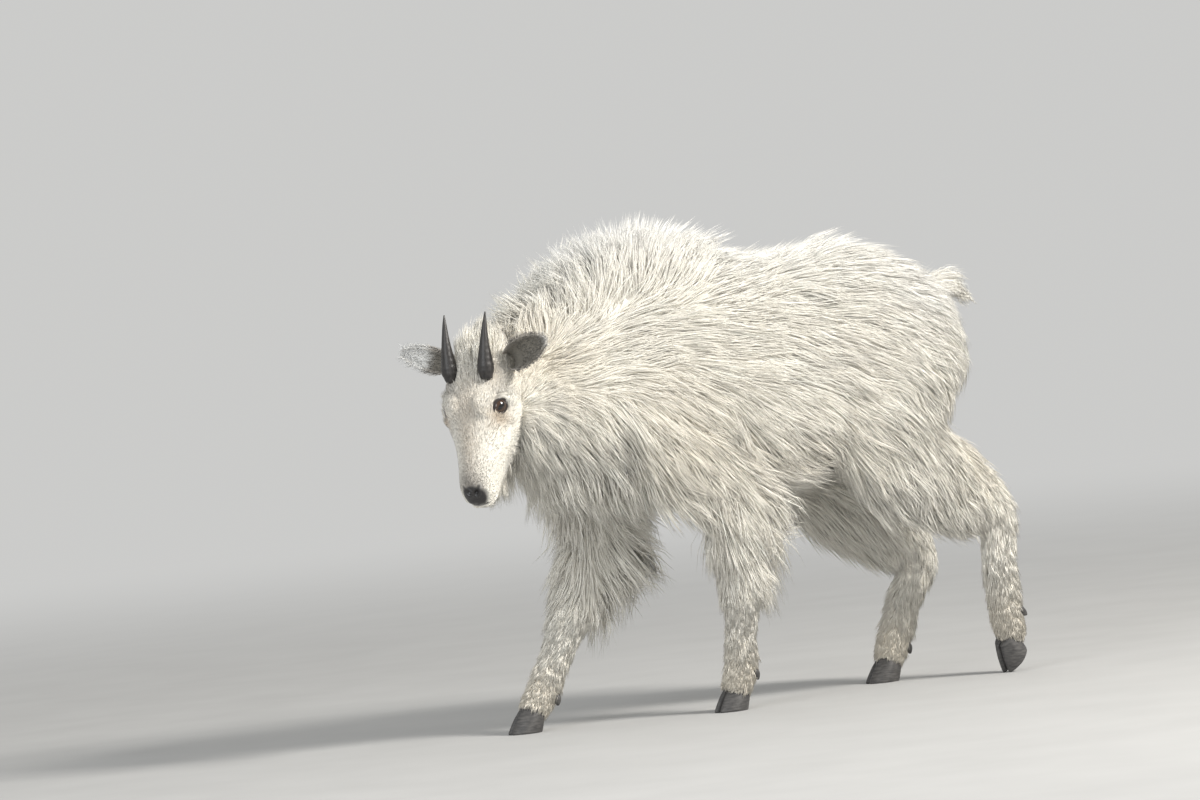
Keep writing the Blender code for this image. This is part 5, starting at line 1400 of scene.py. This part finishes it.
def blended(points, table):
    """The lie, length and rises of the coat, from all rows by 1 / (distance^2 + LIE_BLUR^2)^LIE_SHARPNESS."""
    side = np.where(points[:, 1] < 0, -1.0, 1.0)
    near = np.stack([points[:, 0], np.abs(points[:, 1]), points[:, 2]], -1)
    places = np.array([row[0] for row in table])
    apart = np.sum((near[:, None] - places[None]) ** 2, -1)
    weights = 1 / (apart + LIE_BLUR**2) ** LIE_SHARPNESS
    weights /= weights.sum(1, keepdims=True)
    lie = weights @ np.array([row[1] for row in table])
    lie[:, 1] *= side
    numbers = weights @ np.array([(row[2], *row[3]) for row in table])
    return unit(lie), numbers[:, 0], np.radians(numbers[:, 1]), np.radians(numbers[:, 2])


def nearest(surface, points):
    """The nearest points of the skin and its normals there."""
    found = [surface.find_nearest(p)[:2] for p in points.tolist()]
    flat = np.array([(*hit, *normal) for hit, normal in found])
    return flat[:, :3], flat[:, 3:]


def hair_lines(surface, root, normal, lie, length, rises, steps, wave):
    """Points of each hair, whose rise goes from rises[0] at the skin to rises[1] at its tip.

    Each step adds way x length, where way is lie x cos(rise) + normal x sin(rise), and a sine's sway aside.
    """
    place = root - normal * HAIR_SUNK
    line = [place]
    outs = [normal]
    before = 0.0
    high, count, phase = wave
    out = normal
    for step in steps:
        angle = (rises[0] + (rises[1] - rises[0]) * step)[:, None]
        along = unit(lie - out * dot(lie, out))
        way = along * np.cos(angle) + out * np.sin(angle)
        sway = np.sin(2 * math.pi * count * step + phase) - np.sin(2 * math.pi * count * before + phase)
        side = unit(np.cross(way, out + 0.01))
        place = place + way * (length * (step - before))[:, None] + side * (sway * high * length)[:, None]
        before = step
        hit, out = nearest(surface, place)
        gap = dot(place - hit, out)
        place = place + out * np.maximum(HAIR_CLEAR * (0.5 + step) - gap, 0)
        line.append(place)
        outs.append(out)
    return np.stack(line, 1), np.stack(outs, 1)


def nearest_of(places, asked):
    """The number of the nearest place to each point asked."""
    tree = KDTree(len(places))
    for i, place in enumerate(places.tolist()):
        tree.insert(place, i)
    tree.balance()
    return np.array([tree.find(p)[1] for p in asked.tolist()])


def cracked(points):
    """How deep in a crack of the thigh's coat each point is: 1 where its two nearest cells are as far."""
    flat = points[:, [0, 2]]
    share = np.exp(-np.sum(((flat - THIGH_MIDDLE) / THIGH_REACH) ** 2, 1))
    share = share * (np.abs(points[:, 1]) > CRACK_OUT)
    seeded = np.random.default_rng(CRACK_SEED)
    spots = seeded.uniform(-CRACK_SPREAD, CRACK_SPREAD, (THIGH_CELLS, 2)) * THIGH_REACH + THIGH_MIDDLE
    near = np.flatnonzero(share > CRACK_FROM[0])
    apart = np.linalg.norm((flat[near][:, None] - spots[None]) / THIGH_CELL, axis=-1)
    two = np.partition(apart, 1, axis=1)
    depth = np.zeros(len(points))
    between = np.exp(-(((two[:, 1] - two[:, 0]) / CRACK_WIDTH) ** 2))
    depth[near] = between * smoothstep(share[near] / CRACK_FROM[1])
    return depth


def grow(surface, root, normal, table, steps, wave_high, turns):
    """A coat on the roots, of which one in CLUMP_SIZE leads a clump that the others near it are drawn to."""
    count = len(root)
    on_face = table is HEAD_LIE
    lie, length, rise_root, rise_tip = blended(to_head(root) if on_face else root, table)
    if on_face:
        lie = lie @ HEAD_AXES.T
    leaders = max(1, count // CLUMP_SIZE)
    clump = nearest_of(root[:leaders], root)
    turn = rng.normal(0, turns[0], leaders)[clump] + rng.normal(0, turns[1], count)
    lie = unit(lie + np.cross(lie, normal) * turn[:, None])
    crack = cracked(root)
    vary = 1 + rng.normal(0, LENGTH_VARIETY[0], leaders)[clump] + rng.normal(0, LENGTH_VARIETY[1], count)
    length = length * np.clip(vary, *LENGTH_LIMITS) * (1 - CRACK_SHORTER * crack)
    lift = 1 + rng.normal(0, RISE_VARIETY, leaders)[clump] + rng.normal(0, RISE_VARIETY, count)
    rises = [rise * np.clip(lift, *limits) for rise, limits in zip((rise_root, rise_tip), RISE_LIMITS)]
    wave = (
        wave_high * rng.uniform(*WAVE_VARIETY, leaders)[clump],
        rng.uniform(*WAVE_COUNT, leaders)[clump],
        rng.uniform(0, 2 * math.pi, leaders)[clump],
    )
    line, out = hair_lines(surface, root, normal, lie, length, rises, steps, wave)
    pull = rng.uniform(*CLUMP_PULL, leaders)[clump][:, None] * np.array((0.0, *steps)) ** PULL_POWER
    held = SHORT_PULL if len(steps) == len(SHORT_STEPS) else 1.0
    line = line + (line[clump] - line) * pull[..., None] * held
    tint = 1 + rng.normal(0, TINT_VARIETY[0], leaders)[clump] + rng.normal(0, TINT_VARIETY[1], count)
    # The tint is darkened in the thigh's cracks: painted shade
    return {"root": root, "line": line, "out": out, "tint": tint * (1 - CRACK_PAINTED_SHADE * crack)}


def unwrapped(points, start, end):
    """Points on the skin unrolled round the axis from start to end: the turn round it and the way along."""
    axis = unit(np.array(end) - start)
    away = points - start
    along = away @ axis
    first = unit(np.cross(axis, MAP_START))
    second = np.cross(axis, first)
    turn = np.arctan2(away @ second, away @ first) / (2 * math.pi) + 0.5
    low, high = along.min(), along.max()
    flat = np.stack([turn, (along - low) / max(high - low, 1e-6)], -1)
    return MAP_EDGE + MAP_SPAN * flat


def coat_piece(name, hairs, width, profile, axis, look, colours=None, slot="coat"):
    """One mesh of closed three-sided tapered hairs, with their tints and a patch of OFBake at each root.

    A ring has its corners at point - side x half, point + side x half and point + up x HAIR_DEPTH x width.
    """
    line, out = hairs["line"], hairs["out"]
    count, rows = line.shape[:2]
    rings = rows - 1
    way = np.empty((count, rings, 3))
    way[:, 0] = line[:, 1] - line[:, 0]
    way[:, 1:] = line[:, 2:] - line[:, :-2]
    way = unit(way)
    twist = rng.normal(0, HAIR_TWIST, (count, 1, 3))
    side = unit(np.cross(way, out[:, :rings] + twist))
    up = np.cross(side, way)
    half = (width * rng.uniform(*WIDTH_VARIETY, count))[:, None] * np.array(profile) / 2
    half = half[..., None]
    low = line[:, :rings]
    ring = np.stack([low - side * half, low + side * half, low + up * half * 2 * HAIR_DEPTH], 2)
    points = np.concatenate([ring.reshape(count, rings * 3, 3), line[:, rings:]], 1)
    each = rings * 3 + 1
    faces = [(0, 1, 2)]
    for k in range(rings - 1):
        for a, b in ((0, 1), (1, 2), (2, 0)):
            low_a, low_b = k * 3 + a, k * 3 + b
            faces += [(low_b, low_a, low_a + 3), (low_b, low_a + 3, low_b + 3)]
    last = (rings - 1) * 3
    faces += [(last + b, last + a, rings * 3) for a, b in ((0, 1), (1, 2), (2, 0))]
    faces = np.array(faces)[None] + (np.arange(count) * each)[:, None, None]
    made = piece(name, points.reshape(-1, 3), faces.reshape(-1, 3))
    share = np.append(np.repeat(np.arange(rings) / rings, 3), 1.0)
    base = marked(hairs["root"]) if colours is None else colours
    # Each hair's colour is painted darker towards its root (painted shade), times its own random tint
    shade = (ROOT_PAINTED_SHADE + (1 - ROOT_PAINTED_SHADE) * np.sqrt(share))[None] * hairs["tint"][:, None]
    painted(made, "tint", np.clip(base[:, None] * shade[..., None], *TINT_LIMITS).reshape(-1, 3))
    across = np.append(np.tile((-0.5, 0.5, 0.0), rings), 0.0)
    patch = np.stack([across, share - 0.5], -1) * PATCH
    flat = unwrapped(hairs["root"], *axis)[:, None] + patch[None]
    layer = made.data.uv_layers.new(name="OFBake")
    layer.uv.foreach_set("vector", flat.reshape(-1, 2)[faces.reshape(-1)].astype(np.float32).ravel())
    return dressed(made, slot, look)


def chosen(hairs, which):
    """The hairs that the test marks."""
    return {key: value[which] for key, value in hairs.items()}


def scattered(points, faces, count):
    """Roots spread over the triangles by their area, at a + u(b - a) + v(c - a)."""
    a, b, c = (points[faces[:, i]] for i in range(3))
    normal = np.cross(b - a, c - a)
    area = np.linalg.norm(normal, axis=1)
    pick = rng.choice(len(faces), count, p=area / area.sum())
    u, v = rng.random((2, count, 1))
    over = u + v > 1
    u, v = np.where(over, 1 - u, u), np.where(over, 1 - v, v)
    return a[pick] + u * (b - a)[pick] + v * (c - a)[pick], unit(normal[pick])


def bare(points):
    """Where no hair grows: round the eyes, horns' and ears' roots, nose pad, mouth and nostrils."""
    local = to_head(points)
    none = in_pad(local) < BARE_NOSE
    muzzle = np.flatnonzero(local[:, 0] > MUZZLE_FROM)
    none[muzzle] |= away_from(local[muzzle], mouth_line()) < BARE_MOUTH
    for sign in (1, -1):
        near = np.linalg.norm(local - np.array(mirrored(EYE_PLACE, sign)), axis=1) < EYE_NEAR
        _, ring = in_eye(points, sign)
        none |= near & (ring < BARE_EYE)
        root = np.array(mirrored(HORN_BASE, sign))
        none |= np.linalg.norm(local - root, axis=1) < BARE_HORN
        none[muzzle] |= away_from(local[muzzle], nostril_line(sign)) < BARE_NOSTRIL
        base, tip = np.array(mirrored(EAR_BASE, sign)), np.array(mirrored(EAR_TIP, sign))
        none |= away_from(local, np.array([base, base + (tip - base) * BARE_EAR[0]])) < BARE_EAR[1]
    return none


def on_head(points):
    """Whether points of the goat's frame lie in front of the plane where the head's coat starts."""
    plane, forward = (np.array(v) for v in HEAD_PLANE)
    return ((points - plane) @ forward > 0) & (points[:, 2] > HEAD_LOW)


def build_coat(skin, faces):
    """The whole coat over the skin, in pieces by the part of the body that they grow on."""
    amount = 1.0
    points, _ = points_of(skin)
    surface = BVHTree.FromPolygons(points.tolist(), faces.tolist())
    headward = on_head(points[faces].mean(1))
    body_turn = (CLUMP_TURN, HAIR_TURN)
    coats = (
        (COAT_LIE, faces[~headward], BODY_ROOTS, (
            ("long", LONG_FROM, 1.0, LONG_HAIRS, LONG_STEPS, WAVE_HIGH, body_turn),
            ("short", 0.0, LONG_FROM, SHORT_HAIRS, SHORT_STEPS, 0.0, body_turn),
        )),
        (HEAD_LIE, faces[headward], HEAD_ROOTS, (
            ("beard", BEARD_FROM, 1.0, BEARD_HAIRS, LONG_STEPS, WAVE_HIGH, body_turn),
            ("face", 0.0, BEARD_FROM, FACE_HAIRS, SHORT_STEPS, 0.0, FACE_TURN),
        )),
    )
    grown = {}
    for table, ground, tries, groups in coats:
        root, normal = scattered(points, ground, int(tries * amount))
        keep = ~bare(root) & (root[:, 2] > FLOOR_CLEAR)
        root, normal = root[keep], normal[keep]
        length = blended(to_head(root) if table is HEAD_LIE else root, table)[1]
        for name, least, most, wanted, steps, wave, turns in groups:
            found = np.flatnonzero((length >= least) & (length < most))
            weight = 1 / length[found]
            count = min(int(wanted * amount), len(found))
            pick = rng.choice(found, count, replace=False, p=weight / weight.sum())
            grown[name] = grow(surface, root[pick], normal[pick], table, steps, wave, turns)
    place_coat(grown, fur_look(), 1 / math.sqrt(amount))


def place_coat(grown, look, wider):
    """Makes the coat's pieces, each on the unwrap of the part of the skin that it grows on."""
    long = grown["long"]
    x, y, z = long["root"].T
    on_leg = z < LEG_TOP
    for name, start, end in TRUNK_PARTS:
        for side, sign in SIDES.items():
            which = ~on_leg & (x >= start) & (x < end) & (y * sign > 0)
            hairs = chosen(long, which)
            coat_piece(f"coat_{name}_{side}", hairs, LONG_WIDTH * wider, LONG_PROFILE, SPINE, look)
    short = grown["short"]
    for limb, legs, low, high in LIMB_PARTS:
        for side, sign in SIDES.items():
            joints = list(legs[side].values())
            axis = (np.array(joints[1]) * (1, sign, 1), np.array(joints[-1]) * (1, sign, 1))
            which = on_leg & (x >= low) & (x < high) & (y * sign > 0)
            name = f"coat_{limb}leg_{side}"
            coat_piece(f"{name}_upper", chosen(long, which), LONG_WIDTH * wider, LONG_PROFILE, axis, look)
            sx, sy = short["root"][:, 0], short["root"][:, 1]
            which = (sx >= low) & (sx < high) & (sy * sign > 0)
            coat_piece(f"{name}_lower", chosen(short, which), SHORT_WIDTH * wider, SHORT_PROFILE, axis, look)
    face = grown["face"]
    axis = tuple(to_goat(np.array(end)) for end in FACE_LINE)
    for side, sign in (("left", 1), ("right", -1)):
        which = to_head(face["root"])[:, 1] * sign > 0
        coat_piece(f"coat_face_{side}", chosen(face, which), FACE_WIDTH * wider, SHORT_PROFILE, axis, look)
    coat_piece("coat_beard", grown["beard"], BEARD_WIDTH * wider, LONG_PROFILE, axis, look)
    for side, sign in (("left", 1), ("right", -1)):
        hairs, colours = ear_hairs(sign)
        ends = [to_goat(np.array(mirrored(p, sign))) for p in (EAR_BASE, EAR_TIP)]
        coat_piece(f"coat_ear_{side}", hairs, EAR_HAIR_WIDTH, SHORT_PROFILE, ends, look, colours, "ear")


def build_camera():
    """The camera at the photograph's turn, rise and roll, aimed so that the goat is right of the middle."""
    a, e, r = VIEW_TURN, VIEW_RISE, VIEW_ROLL
    back = np.array((math.sin(a) * math.cos(e), -math.cos(a) * math.cos(e), math.sin(e)))
    level = np.array((math.cos(a), math.sin(a), 0.0))
    plumb = np.cross(back, level)
    right = math.cos(r) * level - math.sin(r) * plumb
    up = math.sin(r) * level + math.cos(r) * plumb
    eye = VIEW_TARGET + SHIFT + back * VIEW_DISTANCE
    pixels = VIEW_DISTANCE / METRES_A_PIXEL
    aside = math.atan((TARGET_PIXEL[0] - IMAGE[0] / 2) / pixels)
    cosine, sine = math.cos(aside), math.sin(aside)
    right, back = right * cosine - back * sine, right * sine + back * cosine
    data = bpy.data.cameras.new("camera")
    data.sensor_width = SENSOR
    data.lens = SENSOR * pixels / IMAGE[0]
    data.clip_end = VIEW_END
    camera = bpy.data.objects.new("camera", data)
    bpy.context.scene.collection.objects.link(camera)
    turn = np.eye(4)
    turn[:3, :3] = np.stack([right, up, back], -1)
    turn[:3, 3] = eye
    camera.matrix_world = Matrix(turn.tolist())
    bpy.context.scene.camera = camera


def soft_light(name, place, size, power, colour):
    """A wide square lamp that points at the goat's middle."""
    data = bpy.data.lights.new(name, "AREA")
    data.shape = "SQUARE"
    data.size = size
    data.energy = power
    data.color = colour
    lamp = bpy.data.objects.new(name, data)
    bpy.context.scene.collection.objects.link(lamp)
    place = Vector(place)
    lamp.location = place
    lamp.rotation_euler = (place - Vector(LAMP_TARGET)).to_track_quat("Z", "Y").to_euler()


def build_studio():
    """A pale floor that fades into a pale world, a large key from the right and above, and a low fill."""
    floor_mesh = bpy.data.meshes.new("floor")
    corners = [(x * FLOOR_REACH, y * FLOOR_REACH, 0) for x, y in ((-1, -1), (1, -1), (1, 1), (-1, 1))]
    floor_mesh.from_pydata(corners, [], [(0, 1, 2, 3)])
    floor = bpy.data.objects.new("floor", floor_mesh)
    bpy.context.scene.collection.objects.link(floor)
    material, shader = shader_of("pale_floor", Roughness=0.9, Specular_IOR_Level=0.1)
    noise = add(material, "ShaderNodeTexNoise", Scale=6.0, Detail=5.0)
    link(material, own_coordinates(material), noise.inputs["Vector"])
    colour = ramp(material, [(0.3, FLOOR_TONES[0]), (0.7, FLOOR_TONES[1])])
    link(material, noise.outputs["Fac"], colour.inputs["Fac"])
    link(material, colour.outputs["Color"], shader.inputs["Base Color"])
    far = add(material, "ShaderNodeVectorMath", operation="LENGTH")
    link(material, own_coordinates(material), far.inputs[0])
    near, beyond = FLOOR_FADE
    share = add(material, "ShaderNodeMapRange", From_Min=near, From_Max=beyond)
    share.interpolation_type = "SMOOTHSTEP"
    link(material, far.outputs["Value"], share.inputs["Value"])
    glow = add(material, "ShaderNodeEmission", Color=(*PALE, 1.0))
    mix = add(material, "ShaderNodeMixShader")
    output = material.node_tree.nodes["Material Output"]
    link(material, share.outputs["Result"], mix.inputs[0])
    link(material, shader.outputs["BSDF"], mix.inputs[1])
    link(material, glow.outputs["Emission"], mix.inputs[2])
    link(material, mix.outputs["Shader"], output.inputs["Surface"])
    floor_mesh.materials.append(material)
    world = bpy.data.worlds.new("pale_world")
    world.use_nodes = True
    world.node_tree.nodes["Background"].inputs["Color"].default_value = (*PALE, 1.0)
    bpy.context.scene.world = world
    bpy.context.scene.view_settings.view_transform = "Standard"
    for lamp in LAMPS:
        soft_light(*lamp)


FLESH = ("torso", "head", "tail") + tuple(
    f"{limb}leg_{side}_{part}" for limb in ("fore", "hind") for side in SIDES for part in ("upper", "lower")
)

build_camera()
build_studio()
skin_object, skin_faces = build_skin()
build_eyes()
build_horns()
build_ears()
build_feet()
build_coat(skin_object, skin_faces)
